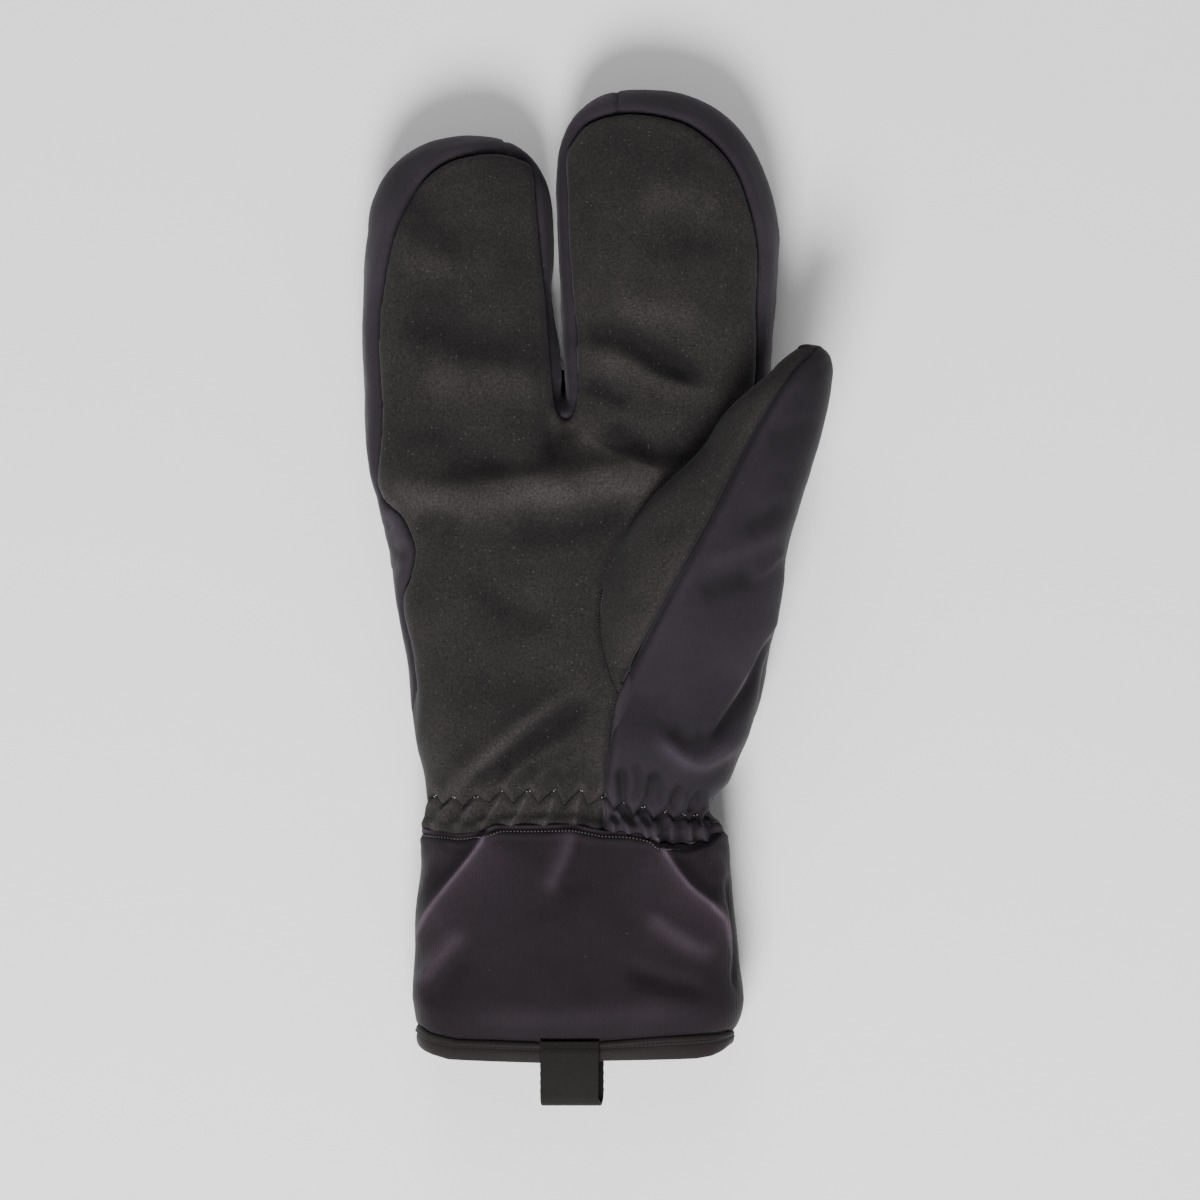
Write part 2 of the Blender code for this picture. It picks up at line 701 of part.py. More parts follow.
def cuff_ring(place, inset, lift):
    """One ring of the cuff at a share of its length, moved in by inset."""
    left = across(smooth(CUFF, "left", place)) + inset
    right = across(smooth(CUFF, "right", place)) - inset
    height = CUFF_THICKNESS * smooth(CUFF, "height", place)
    side = SIDE_HEIGHT * height
    roll = min(EDGE_ROLL, (right - left) / 2)
    ring = []
    for back in (False, True):
        for i in range(CUFF_COLUMNS):
            share = i / CUFF_COLUMNS
            turn = math.pi * share
            t = -math.cos(turn)
            t = t * (1 - CUFF_SPREAD * math.sin(turn) ** 2)
            x = (left + right) / 2 + (right - left) / 2 * t * (-1 if back else 1)
            near = min(x - left, right - x)
            rise = rolled(max(near, 0.0), roll)
            if back:
                z = max(inset, side - (side * BOTTOM_PRESS - inset) * rise)
            else:
                fold = fold_height(CUFF_FOLDS, x / HAND_WIDTH, place, CUFF_LENGTH / HAND_WIDTH)
                inland = min(1.0, max(0.0, near / roll)) ** 0.5
                z = side + (height - side - inset) * rise * (1 - CROWN * t * t)
                z += fold * CUFF_THICKNESS * inland
            ring.append((x, WRIST_Y - place * CUFF_LENGTH + lift, z))
    return ring


def tube_wall(name, outer_rings, inner_rings, material):
    """A wall between two stacks of rings, closed at both ends."""
    count = len(outer_rings[0])
    points = []
    stack = outer_rings + inner_rings[::-1]
    faces = []
    for ring in stack:
        points += ring
    total = len(stack)
    for row in range(total):
        a = row * count
        b = ((row + 1) % total) * count
        for i in range(count):
            j = (i + 1) % count
            faces.append((a + i, a + j, b + j, b + i))
    return mesh_object(name, points, faces, material)


def cloth(name, colour, roughness, sheen=0.0):
    material = bpy.data.materials.new(name)
    material.use_nodes = True
    shader = material.node_tree.nodes["Principled BSDF"]
    shader.inputs["Base Color"].default_value = (*colour, 1.0)
    shader.inputs["Roughness"].default_value = roughness
    shader.inputs["Metallic"].default_value = 0.0
    shader.inputs["Sheen Weight"].default_value = sheen
    return material


def build_hand():
    """Walls and volumes of the hand and the thumb, from which the panels are cut."""
    skin, rim = hand_skin()
    normals = outward_normals(skin.points, skin.faces, rim)
    inner = offset(skin.points, normals, -WALL)
    inner = [(x, along(0) if i in rim else y, z) for i, (x, y, z) in enumerate(inner)]
    wall = as_cutter(wall_between("hand_wall", skin.points, inner, skin.faces, rim))
    solid = as_cutter(mesh_object("hand_solid", skin.points, [*skin.faces, tuple(rim)]))
    # The hollow runs on past the wrist, so that it opens the solid's end.
    count = len(inner)
    mouth = [(inner[i][0], along(0) - WALL, inner[i][2]) for i in rim]
    faces = [*skin.faces, tuple(range(count, count + len(rim)))]
    for k, i in enumerate(rim):
        following = (k + 1) % len(rim)
        faces.append((i, rim[following], count + following, count + k))
    hollow = as_cutter(mesh_object("hand_hollow", inner + mouth, faces))
    return wall, solid, hollow


def build_thumb():
    points, faces, rim = thumb_skin()
    normals = outward_normals(points, faces, rim)
    whole = [*faces, tuple(rim)]
    solid = as_cutter(mesh_object("thumb_solid", points, whole))
    hollow = as_cutter(mesh_object("thumb_hollow", offset(points, normals, -WALL), whole))
    room = offset(points, normals, SEAM_GAP)
    clearance = as_cutter(mesh_object("thumb_clearance", room, whole))
    return solid, hollow, clearance


def seam_outlines():
    """Seen from above: the palm panel, the heel, and all that lies left of the thumb's seam."""
    palm_line = smooth_line(LEFT_SEAM + CROTCH_SEAM + RIGHT_SEAM + THUMB_SEAM + HEEL_SEAM, 3)
    seam = smooth_line(THUMB_SEAM_TOP + THUMB_SEAM + HEEL_SEAM, 3)
    far = across(BEYOND)
    inner = [seam[-1], (-far, seam[-1][1]), (-far, seam[0][1])]
    heel_top = (far, along(HEEL_TOP))
    heel = [p for p in seam if p[1] < heel_top[1]]
    heel = [(heel[0][0], heel_top[1]), *heel, (far, heel[-1][1]), heel_top]
    return palm_line, heel, seam + inner[1:]


def build_panels(palm_cloth, shell_cloth, thumb_palm_cloth, thumb_shell_cloth):
    wall, hand_solid, hand_hollow = build_hand()
    thumb_solid, thumb_hollow, thumb_clearance = build_thumb()
    palm_line, heel_line, left_line = seam_outlines()
    high = HAND_THICKNESS + THUMB_THICKNESS
    low = SIDE_SEAM_HEIGHT
    palm_cutter = prism("palm_cutter", palm_line, low, high)
    palm_room = prism("palm_room", grown(palm_line, SEAM_GAP), low - SEAM_GAP, high)
    heel_room = prism("heel_room", grown(heel_line, SEAM_GAP), low - SEAM_GAP, high)
    left_cutter = prism("left_cutter", left_line, -low, high)
    left_room = prism("left_room", grown(left_line, SEAM_GAP), -low, high)
    end = along(HEEL_SEAM[-1].along)
    middle = across(MIDLINE)
    far = across(BEYOND)
    top = along(HEEL_TOP)
    heel_block = prism("heel_block", [(middle, end), (far, end), (far, top), (middle, top)], low, high)

    palm = copy_of(wall, "palm_panel")
    carve(palm, palm_cutter, "INTERSECT")
    carve(palm, thumb_clearance)
    palm.data.materials.append(palm_cloth)

    back = copy_of(wall, "back_shell")
    for cutter in (palm_room, heel_room, thumb_clearance):
        carve(back, cutter)
    back.data.materials.append(shell_cloth)

    thumb_palm = copy_of(thumb_solid, "thumb_palm_panel")
    carve(thumb_palm, left_cutter, "INTERSECT")
    carve(thumb_palm, thumb_hollow)
    carve(thumb_palm, hand_hollow)
    thumb_palm.data.materials.append(thumb_palm_cloth)

    thumb_outer = copy_of(hand_solid, "thumb_outer_panel")
    carve(thumb_outer, heel_block, "INTERSECT")
    carve(thumb_outer, thumb_solid, "UNION")
    for cutter in (thumb_hollow, hand_hollow, left_room):
        carve(thumb_outer, cutter)
    thumb_outer.data.materials.append(thumb_shell_cloth)

    panels = [palm, back, thumb_palm, thumb_outer]
    for panel in panels:
        settle(panel)
    return panels


def build_cuff(material):
    outer = []
    inner = []
    for place in CUFF_ROWS:
        lift = -SEAM_GAP if place == 0 else 0.0
        outer.append(cuff_ring(place, 0.0, lift))
        inner.append(cuff_ring(place, CUFF_WALL, lift))
    return tube_wall("cuff", outer, inner, material)


def build_hem(material):
    """The folded band round the mouth, with its lower edge rounded."""
    base = cuff_ring(1.0, 0.0, 0.0)
    middle_x = across((CUFF[-1].left + CUFF[-1].right) / 2)
    middle_z = CUFF_THICKNESS * CUFF[-1].height / 2

    def ring(depth, out):
        points = []
        for x, _, z in base:
            run = Vector((x - middle_x, z - middle_z)).normalized()
            points.append((x + run.x * out, HEM_Y - depth, max(0.0, z + run.y * out)))
        return points

    outer = [ring(SEAM_GAP, 0.0), ring(HEM_FULLEST * HEM_HEIGHT, HEM_PROUD)]
    outer += [ring(row.down * HEM_HEIGHT, row.out * HEM_WALL) for row in HEM_PROFILE]
    inner = []
    for depth in (SEAM_GAP, HEM_PROFILE[-2].down * HEM_HEIGHT):
        flat = [(x, y, max(z, HEM_WALL)) for x, y, z in ring(depth, -HEM_WALL)]
        inner.append(flat)
    return tube_wall("hem_band", outer, inner, material)


def build_loop(material):
    """A ribbon folded over the hem, both ends held by the hem's wall."""
    top = CUFF_THICKNESS * CUFF[-1].height
    outside = top + HEM_PROUD + SEAM_GAP + LOOP_EASE
    inside = top - HEM_WALL - SEAM_GAP - LOOP_EASE
    turn = (outside - inside) / 2
    middle = (outside + inside) / 2
    end = HEM_Y - HEM_HEIGHT - LOOP_REACH + RIBBON
    profile = [(HEM_Y - SEAM_GAP, outside), (end + turn, outside)]
    steps = 8
    for i in range(1, steps):
        angle = math.pi * i / steps
        profile.append((end + turn - turn * math.sin(angle), middle + turn * math.cos(angle)))
    profile += [(end + turn, inside), (HEM_Y - SEAM_GAP, inside)]
    outer = [(HEM_Y - SEAM_GAP, outside + RIBBON)]
    wide = turn + RIBBON
    for i in range(steps + 1):
        angle = math.pi * i / steps
        outer.append((end + turn - wide * math.sin(angle), middle + wide * math.cos(angle)))
    outer.append((HEM_Y - SEAM_GAP, inside - RIBBON))
    points = []
    for x in (-LOOP_WIDTH / 2, LOOP_WIDTH / 2):
        for y, z in profile + outer[::-1]:
            points.append((across(LOOP_MIDDLE) + x, y, z))
    count = len(points) // 2
    half = len(profile)
    faces = []
    for i in range(count):
        j = (i + 1) % count
        faces.append((i, j, j + count, i + count))
    for i in range(half - 1):
        a = (i, i + 1, count - 2 - i, count - 1 - i)
        faces.append(a)
        faces.append(tuple(k + count for k in a[::-1]))
    return mesh_object("pull_loop", points, faces, material)


def centre_on_origin(pieces):
    """Moves the glove so that its middle stands on the origin and its back at Z = 0."""
    corners = np.array([tuple(vert.co) for piece in pieces for vert in piece.data.vertices])
    low = corners.min(axis=0)
    high = corners.max(axis=0)
    shift = Vector((-(low[0] + high[0]) / 2, -(low[1] + high[1]) / 2, -low[2]))
    for piece in pieces:
        piece.location = shift


def main():
    for obj in list(bpy.data.objects):
        bpy.data.objects.remove(obj, do_unlink=True)
    suede = cloth("palm_cloth", (0.026, 0.023, 0.022), 0.95)
    softshell = cloth("shell_cloth", (0.030, 0.024, 0.030), 0.62, 0.3)
    thumb_suede = cloth("thumb_palm_cloth", (0.028, 0.025, 0.022), 0.95)
    thumb_shell = cloth("thumb_shell_cloth", (0.034, 0.027, 0.034), 0.62, 0.3)
    cuff_cloth = cloth("cuff_cloth", (0.024, 0.019, 0.023), 0.55, 0.3)
    hem_cloth = cloth("hem_cloth", (0.022, 0.018, 0.020), 0.6, 0.2)
    ribbon = cloth("loop_ribbon", (0.012, 0.011, 0.011), 0.7)
    pieces = build_panels(suede, softshell, thumb_suede, thumb_shell)
    pieces.append(build_cuff(cuff_cloth))
    pieces.append(build_hem(hem_cloth))
    pieces.append(build_loop(ribbon))
    centre_on_origin(pieces)
    for piece in pieces:
        piece.data.shade_smooth()
        piece.data.set_sharp_from_angle(angle=math.radians(35))


main()
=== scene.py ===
"""The looks of the three-finger winter glove: fine cloth surfaces, seams, stitches, light, camera.

Lengths are in metres. As in the model, places across the glove are shares of HAND_WIDTH from its
middle, and places along it are shares of HAND_LENGTH from the wrist seam.
"""

import math
from collections import namedtuple

import bmesh
import bpy
import numpy as np
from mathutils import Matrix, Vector
from mathutils.bvhtree import BVHTree


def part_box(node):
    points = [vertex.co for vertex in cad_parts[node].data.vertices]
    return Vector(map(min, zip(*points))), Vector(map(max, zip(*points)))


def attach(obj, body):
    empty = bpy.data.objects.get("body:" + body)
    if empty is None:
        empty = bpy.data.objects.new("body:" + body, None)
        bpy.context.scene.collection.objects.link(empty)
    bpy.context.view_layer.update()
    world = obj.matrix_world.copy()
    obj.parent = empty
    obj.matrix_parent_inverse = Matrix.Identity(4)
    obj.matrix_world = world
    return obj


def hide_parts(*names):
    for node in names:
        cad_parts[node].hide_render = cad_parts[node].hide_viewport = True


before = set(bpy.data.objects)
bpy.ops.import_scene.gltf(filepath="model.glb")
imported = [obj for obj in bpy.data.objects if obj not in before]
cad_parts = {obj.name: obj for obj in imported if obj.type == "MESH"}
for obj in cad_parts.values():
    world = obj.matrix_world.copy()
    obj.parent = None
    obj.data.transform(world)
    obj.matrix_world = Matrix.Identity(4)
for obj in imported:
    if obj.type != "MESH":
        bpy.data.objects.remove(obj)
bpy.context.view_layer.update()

MM = 0.001

# Sizes and places read from the frame
BACK_LOW, BACK_HIGH = (Vector(corner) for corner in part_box("back_shell"))
CUFF_LOW, CUFF_HIGH = (Vector(corner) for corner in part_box("cuff"))
HEM_LOW, _ = (Vector(corner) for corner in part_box("hem_band"))
LOOP_LOW, LOOP_HIGH = (Vector(corner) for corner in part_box("pull_loop"))
WIDEST_LEFT = -0.562  # the pockets' outer edges, as shares of HAND_WIDTH
WIDEST_RIGHT = 0.444
HAND_LENGTH = BACK_HIGH.y - BACK_LOW.y
HAND_WIDTH = (BACK_HIGH.x - BACK_LOW.x) / (WIDEST_RIGHT - WIDEST_LEFT)
MIDDLE_X = BACK_LOW.x - WIDEST_LEFT * HAND_WIDTH
WRIST_Y = BACK_LOW.y
CUFF_THICKNESS = CUFF_HIGH.z
HAND_THICKNESS = CUFF_THICKNESS * 40 / 42
THUMB_THICKNESS = HAND_THICKNESS

# Sizes of the cloth
WALL = 2.2 * MM
CUFF_WALL = 2.0 * MM
EDGE_ROLL = 25.0 * MM
PALM_MARGIN = 3.4 * MM
TUCK = 1.4 * MM  # how far the hand's end is drawn in under the cuff
TUCK_REACH = 0.012  # the share of HAND_LENGTH over which that happens
BASE_TUCK = 0.8 * MM  # how far the thumb's palm panel dips into its base seam
LOOP_SLIP = 1.4 * MM  # how far the ribbon's back layer stands out at the side
RIBBON = 1.0 * MM
SIDE_SEAM_HEIGHT = 17.0 * MM
CELL = 1.05 * MM  # the distance between rows of the fine mesh
FINE_CELL = 0.55 * MM  # the same at the wrist's gathers
GATHER_TOP = 0.095  # where the finer rows end
UNDER_CUFF = -0.035  # where the hand ends, inside the cuff
CROTCH_BLEND = 0.10
PALM_COLUMNS = 76
BACK_COLUMNS = 14
SIDE_COLUMNS = 26
THUMB_OUTER_COLUMNS = 110
THUMB_INNER_COLUMNS = 60
CUFF_COLUMNS = 205
GROOVE_DEPTH = 1.1 * MM
GROOVE_WIDTH = 0.8 * MM
THUMB_GROOVE = 1.0 * MM  # the depth of the thumb's grooves
SEAM_BITE = 0.5 * MM  # how much deeper the stitch line itself lies
SEAM_PUFF = 0.35 * MM  # how far the padding swells beside a seam
HEEL_LIFT = 0.9 * MM  # how far the heel's cloth lies above the back's edge under it
HEEL_SINK = 2.4 * MM  # how much lower the hidden cloth lies farther under the heel
FULL_RELIEF = 1.8 * MM  # a fold this high has the full painted highlight on its crest, a valley this deep the full painted shade
FLANGE = 7.0 * MM  # how far the cuff's top edge is turned in toward the wrist
FREE_HEIGHT = 5 * MM  # how far above the floor the cloth has its full folds
THICK_WALL = 1.5 * MM  # from here up an inner side needs the broad normals
INNER_FLOOR = 0.2 * MM  # how far above the floor an inner side stays

MIDLINE = -0.071
CROTCH_PALM = 0.555
CROTCH_BACK = 0.622
SIDE_HEIGHT = 0.45
BOTTOM_PRESS = 1.10
ROUNDNESS = 2.6
CROWN = 0.06


def rows_of(kind, *rows):
    return tuple(kind(*row) for row in rows)


# Sections of the hand and its two finger pockets, as in the model
Section = namedtuple("Section", "along left right height")
BODY = rows_of(
    Section,
    (0.000, -0.415, 0.306, 0.88), (0.030, -0.406, 0.274, 0.84), (0.066, -0.411, 0.324, 0.93),
    (0.107, -0.427, 0.353, 1.00), (0.174, -0.444, 0.406, 1.03), (0.242, -0.459, 0.427, 1.03),
    (0.309, -0.484, 0.437, 1.00), (0.391, -0.505, 0.442, 0.97), (0.445, -0.526, 0.440, 0.95),
    (0.485, -0.546, 0.436, 0.93), (0.555, -0.555, 0.430, 0.90), (0.622, -0.559, 0.424, 0.87),
)  # fmt: skip
LEFT_POCKET = rows_of(
    Section,
    (0.555, -0.555, -0.080, 0.90), (0.622, -0.559, -0.081, 0.87), (0.661, -0.562, -0.089, 0.86),
    (0.715, -0.560, -0.104, 0.85), (0.769, -0.557, -0.102, 0.84), (0.809, -0.550, -0.102, 0.82),
)  # fmt: skip
RIGHT_POCKET = rows_of(
    Section,
    (0.555, -0.075, 0.430, 0.90), (0.622, -0.076, 0.424, 0.87), (0.661, -0.081, 0.427, 0.87),
    (0.715, -0.086, 0.435, 0.86), (0.769, -0.088, 0.442, 0.85), (0.796, -0.090, 0.444, 0.84),
)  # fmt: skip
Dome = namedtuple("Dome", "tip drift squareness")
LEFT_DOME = Dome(0.938, 0.019, 2.2)
RIGHT_DOME = Dome(1.000, -0.055, 2.5)
DOME_PROFILE = 2.4

ThumbSection = namedtuple("ThumbSection", "along left right middle half")
THUMB = rows_of(
    ThumbSection,
    (0.000, 0.100, 0.270, 0.50, 0.15), (0.120, 0.143, 0.312, 0.60, 0.25),
    (0.182, 0.054, 0.377, 0.68, 0.39), (0.242, 0.018, 0.416, 0.73, 0.47),
    (0.309, 0.011, 0.440, 0.78, 0.50), (0.378, 0.045, 0.461, 0.85, 0.50),
    (0.445, 0.131, 0.495, 0.93, 0.46), (0.512, 0.252, 0.531, 1.00, 0.40),
    (0.553, 0.300, 0.548, 1.03, 0.37), (0.580, 0.341, 0.558, 1.04, 0.35),
    (0.600, 0.384, 0.563, 1.05, 0.33), (0.614, 0.416, 0.566, 1.05, 0.30),
    (0.626, 0.437, 0.565, 1.05, 0.26), (0.638, 0.463, 0.558, 1.05, 0.20),
    (0.646, 0.484, 0.541, 1.05, 0.12),
)  # fmt: skip
THUMB_ROUNDNESS = 0.92
THUMB_TIP = ThumbSection(0.651, 0.509, 0.509, 1.05, 0.0)

# Seams, seen from above, as in the model: places across and along
LEFT_SEAM = (
    (-0.470, -0.030), (-0.470, 0.080), (-0.440, 0.157), (-0.447, 0.235), (-0.471, 0.307),
    (-0.449, 0.343), (-0.437, 0.381), (-0.466, 0.420), (-0.517, 0.449), (-0.529, 0.478),
    (-0.519, 0.559), (-0.526, 0.627), (-0.525, 0.665), (-0.519, 0.711), (-0.493, 0.788),
    (-0.444, 0.853), (-0.391, 0.889), (-0.331, 0.907), (-0.244, 0.915), (-0.182, 0.908),
    (-0.146, 0.892), (-0.134, 0.839), (-0.122, 0.765), (-0.107, 0.700), (-0.100, 0.647),
    (-0.095, 0.593), (-0.086, 0.564),
)  # fmt: skip
CROTCH_SEAM = ((-0.071, 0.554),)
RIGHT_SEAM = (
    (-0.059, 0.562), (-0.049, 0.593), (-0.054, 0.647), (-0.061, 0.711), (-0.073, 0.797),
    (-0.078, 0.864), (-0.076, 0.909), (-0.057, 0.930), (-0.018, 0.953), (0.066, 0.966),
    (0.155, 0.963), (0.237, 0.947), (0.312, 0.909), (0.362, 0.860), (0.394, 0.784), (0.394, 0.699),
    (0.389, 0.605), (0.372, 0.540),
)  # fmt: skip
THUMB_SEAM = (
    (0.343, 0.496), (0.271, 0.415), (0.189, 0.330), (0.107, 0.242), (0.052, 0.182),
)  # fmt: skip
THUMB_SEAM_TOP = (
    (0.526, 0.670), (0.518, 0.640), (0.493, 0.628), (0.456, 0.605), (0.399, 0.554),
)  # fmt: skip
HEEL_SEAM = (
    (0.037, 0.131), (0.025, 0.066), (0.018, 0.000), (0.018, -0.030),
)  # fmt: skip

# Folds: two ends, half width as a share of HAND_WIDTH, rise as a share of the thickness
Fold = namedtuple("Fold", "across_1 along_1 across_2 along_2 width rise")
PALM_FOLDS = rows_of(
    Fold,
    (-0.500, 0.465, -0.330, 0.451, 0.050, 0.040), (-0.330, 0.451, -0.080, 0.451, 0.050, 0.045),
    (-0.080, 0.451, 0.150, 0.490, 0.045, 0.040), (-0.330, 0.505, -0.210, 0.484, 0.050, -0.035),
    (-0.040, 0.640, 0.220, 0.600, 0.060, -0.040), (-0.010, 0.525, 0.190, 0.480, 0.040, -0.040),
    (-0.320, 0.066, -0.120, 0.170, 0.040, 0.035), (-0.290, 0.058, -0.060, 0.143, 0.035, -0.030),
    (-0.440, 0.410, -0.380, 0.395, 0.030, -0.035),
)  # fmt: skip

# Creases and ridges drawn as lines: points in the photograph's pixels, rise in mm, and how far
# it reaches to the left and to the right of the line's direction in mm. A crisp one has a sharp
# crest.
Line = namedtuple("Line", "points rise left right crisp", defaults=(False,))
CREST_RADIUS = 0.25 * MM
FADE = 0.22  # the share of its length over which a line rises from its end
END_HEIGHT = 0.15  # how much of its height it has at its very end
PALM_LINES = (
    Line(((380, 480), (420, 491), (456, 496), (524, 485), (592, 479), (640, 474), (672, 470)), 2.4,
         4.2, 6.5),
    Line(((390, 432), (440, 440), (497, 457), (520, 468)), -1.1, 5.5, 4.0),
    Line(((415, 369), (460, 377), (505, 379), (550, 377)), 1.2, 5.0, 6.5),
    Line(((395, 331), (440, 333), (483, 344), (540, 353)), -1.2, 5.0, 4.5),
    Line(((395, 262), (430, 262), (460, 270)), 0.9, 5.5, 5.5),
    Line(((408, 192), (425, 215), (450, 238), (470, 245)), -1.1, 4.0, 5.0),
    Line(((636, 200), (680, 198), (728, 208)), 1.0, 6.0, 6.0),
    Line(((620, 150), (660, 155), (700, 165)), -0.6, 5.0, 5.0),
    Line(((636, 246), (680, 242), (726, 250)), -0.8, 5.5, 5.5),
    Line(((606, 310), (650, 312), (712, 320)), 1.1, 6.0, 5.0),
    Line(((568, 337), (600, 336), (628, 343), (660, 361), (708, 385)), -2.5, 4.5, 3.0),
    Line(((584, 359), (625, 364), (665, 384), (724, 394)), 1.3, 3.0, 4.5),
    Line(((578, 383), (604, 391), (630, 406)), -1.5, 2.8, 2.8),
    Line(((576, 418), (586, 432), (600, 447), (628, 462), (676, 477)), 1.6, 1.6, 5.0, True),
    Line(((596, 423), (625, 437), (658, 454), (690, 461)), -1.8, 4.0, 2.6),
    Line(((571, 426), (560, 438), (545, 452)), -0.8, 2.5, 2.5),
    Line(((415, 522), (440, 520), (462, 530)), -1.2, 4.0, 4.0),
    Line(((500, 530), (550, 532), (600, 520), (640, 500)), -1.3, 4.5, 5.0),
    Line(((464, 566), (495, 600), (525, 616), (565, 623)), -0.9, 4.0, 4.5),
    Line(((450, 795), (500, 745), (527, 720), (578, 686)), 1.6, 3.2, 2.8),
    Line(((464, 788), (505, 760), (538, 738), (600, 692)), -1.7, 2.8, 3.0),
    Line(((490, 790), (530, 762), (575, 735)), 1.0, 2.4, 2.4),
    Line(((505, 788), (540, 760), (584, 742)), -1.0, 2.2, 2.4),
    Line(((540, 792), (566, 772), (596, 756)), -0.8, 2.2, 2.6),
    Line(((436, 786), (462, 752), (480, 735)), -0.8, 2.6, 2.6),
    Line(((430, 700), (500, 705), (590, 680)), -1.0, 12.0, 12.0),
    Line(((640, 506), (625, 528), (613, 549), (606, 567), (602, 585), (599, 617), (600, 636),
          (606, 661), (617, 694)), -0.8, 0.9, 0.9),
)  # fmt: skip
SIDE_LINES = (
    Line(((384, 492), (394, 512), (404, 536), (402, 552)), 0.9, 1.6, 1.6, True),
    Line(((388, 545), (398, 552), (410, 556)), -0.9, 1.4, 1.4, True),
    Line(((390, 566), (402, 572)), -0.6, 1.4, 1.4, True),
    Line(((386, 520), (395, 530)), -0.6, 1.4, 1.4, True),
    Line(((366, 250), (372, 300), (371, 340)), 0.4, 2.0, 2.0),
    Line(((768, 210), (772, 260), (768, 320)), 0.4, 2.0, 2.0),
)
THUMB_LINES = (
    Line(((770, 634), (757, 675), (738, 706), (708, 746)), -2.6, 1.9, 2.1),
    Line(((784, 553), (776, 613), (762, 640), (749, 667), (735, 690)), 1.2, 0.9, 4.5, True),
    Line(((655, 728), (668, 744), (684, 757), (700, 761), (722, 749), (745, 734)), 2.1, 2.2, 2.6),
    Line(((668, 722), (690, 738), (712, 732)), -1.1, 2.6, 2.6),
    Line(((695, 592), (725, 582), (754, 570)), -1.1, 2.5, 3.5),
    Line(((785, 548), (765, 569), (752, 578)), 0.8, 1.0, 2.5, True),
    Line(((741, 531), (765, 518), (784, 502)), -0.9, 2.5, 3.5),
    Line(((700, 562), (740, 550), (780, 530)), 0.7, 2.6, 2.6),
    Line(((760, 440), (785, 432), (815, 425)), -0.5, 2.5, 3.0),
    Line(((634, 760), (640, 780), (638, 800)), -0.9, 1.4, 1.6),
    Line(((652, 768), (660, 785), (662, 806)), -0.9, 1.4, 1.6),
    Line(((622, 762), (624, 782), (620, 798)), -0.7, 1.4, 1.4),
)  # fmt: skip
INNER_THUMB_LINES = (
    Line(((640, 540), (668, 528), (690, 520)), -0.5, 2.5, 3.5),
    Line(((625, 600), (648, 596)), -0.4, 2.5, 3.0),
)
CUFF_LINES = (
    Line(((499, 820), (485, 839), (462, 869), (441, 896), (416, 934)), 1.2, 7.5, 1.4, True),
    Line(((480, 822), (462, 846), (436, 880), (418, 905)), -1.1, 3.5, 3.5),
    Line(((650, 832), (664, 853), (687, 883), (708, 901), (721, 917), (731, 950)), 1.2, 1.4, 7.5,
         True),
    Line(((676, 846), (700, 872), (722, 898)), -1.1, 3.5, 3.5),
    Line(((574, 824), (566, 852), (546, 892)), 1.2, 2.2, 3.4),
    Line(((590, 834), (584, 862), (570, 896)), -0.6, 3.0, 3.0),
    Line(((450, 842), (436, 862), (422, 890)), 0.9, 2.0, 2.4),
    Line(((468, 922), (445, 948), (418, 984)), 1.3, 2.4, 3.0),
    Line(((470, 950), (445, 980), (424, 1004)), -0.7, 2.8, 2.8),
    Line(((642, 905), (676, 930), (718, 954)), 1.3, 2.8, 3.2),
    Line(((622, 962), (662, 976), (712, 987)), -1.3, 3.2, 3.2),
    Line(((455, 1008), (530, 1012), (620, 1006), (700, 1000)), 0.6, 4.0, 4.0),
    Line(((706, 844), (718, 860), (727, 880)), 0.8, 1.2, 1.8, True),
    Line(((725, 869), (733, 938), (733, 979), (740, 996)), -0.8, 0.7, 0.7),
)  # fmt: skip
# The fine crests of the cuff's folds, of which the first two get a painted highlight and wear along
# the crest
CUFF_CRESTS = (
    Line(((501, 816), (485, 839), (462, 869), (441, 896), (416, 934)), 0.9, 0.9, 0.7, True),
    Line(((648, 828), (664, 853), (687, 883), (708, 901), (721, 917), (731, 952)), 0.9, 0.7, 0.9,
         True),
    Line(((574, 826), (564, 852), (556, 872)), 0.25, 1.2, 1.2, True),
    Line(((436, 866), (426, 882), (418, 894)), 0.3, 0.9, 0.9, True),
    Line(((450, 944), (434, 960), (420, 978)), 0.25, 1.0, 1.0, True),
)  # fmt: skip

# The elastic at the wrist: peaks and troughs of its line, in the photograph's pixels
ELASTIC = (
    (420, 806), (428, 800), (437, 794), (444, 806), (454, 795), (464, 807), (477, 794),
    (490, 802), (503, 789), (513, 803), (529, 788), (539, 803), (556, 788), (564, 806),
    (581, 788), (588, 805), (603, 794), (613, 808), (624, 801), (633, 815), (643, 804),
    (653, 819), (666, 809), (672, 819), (683, 813), (688, 822), (695, 813), (699, 823),
    (706, 815), (712, 823), (720, 826),
)  # fmt: skip
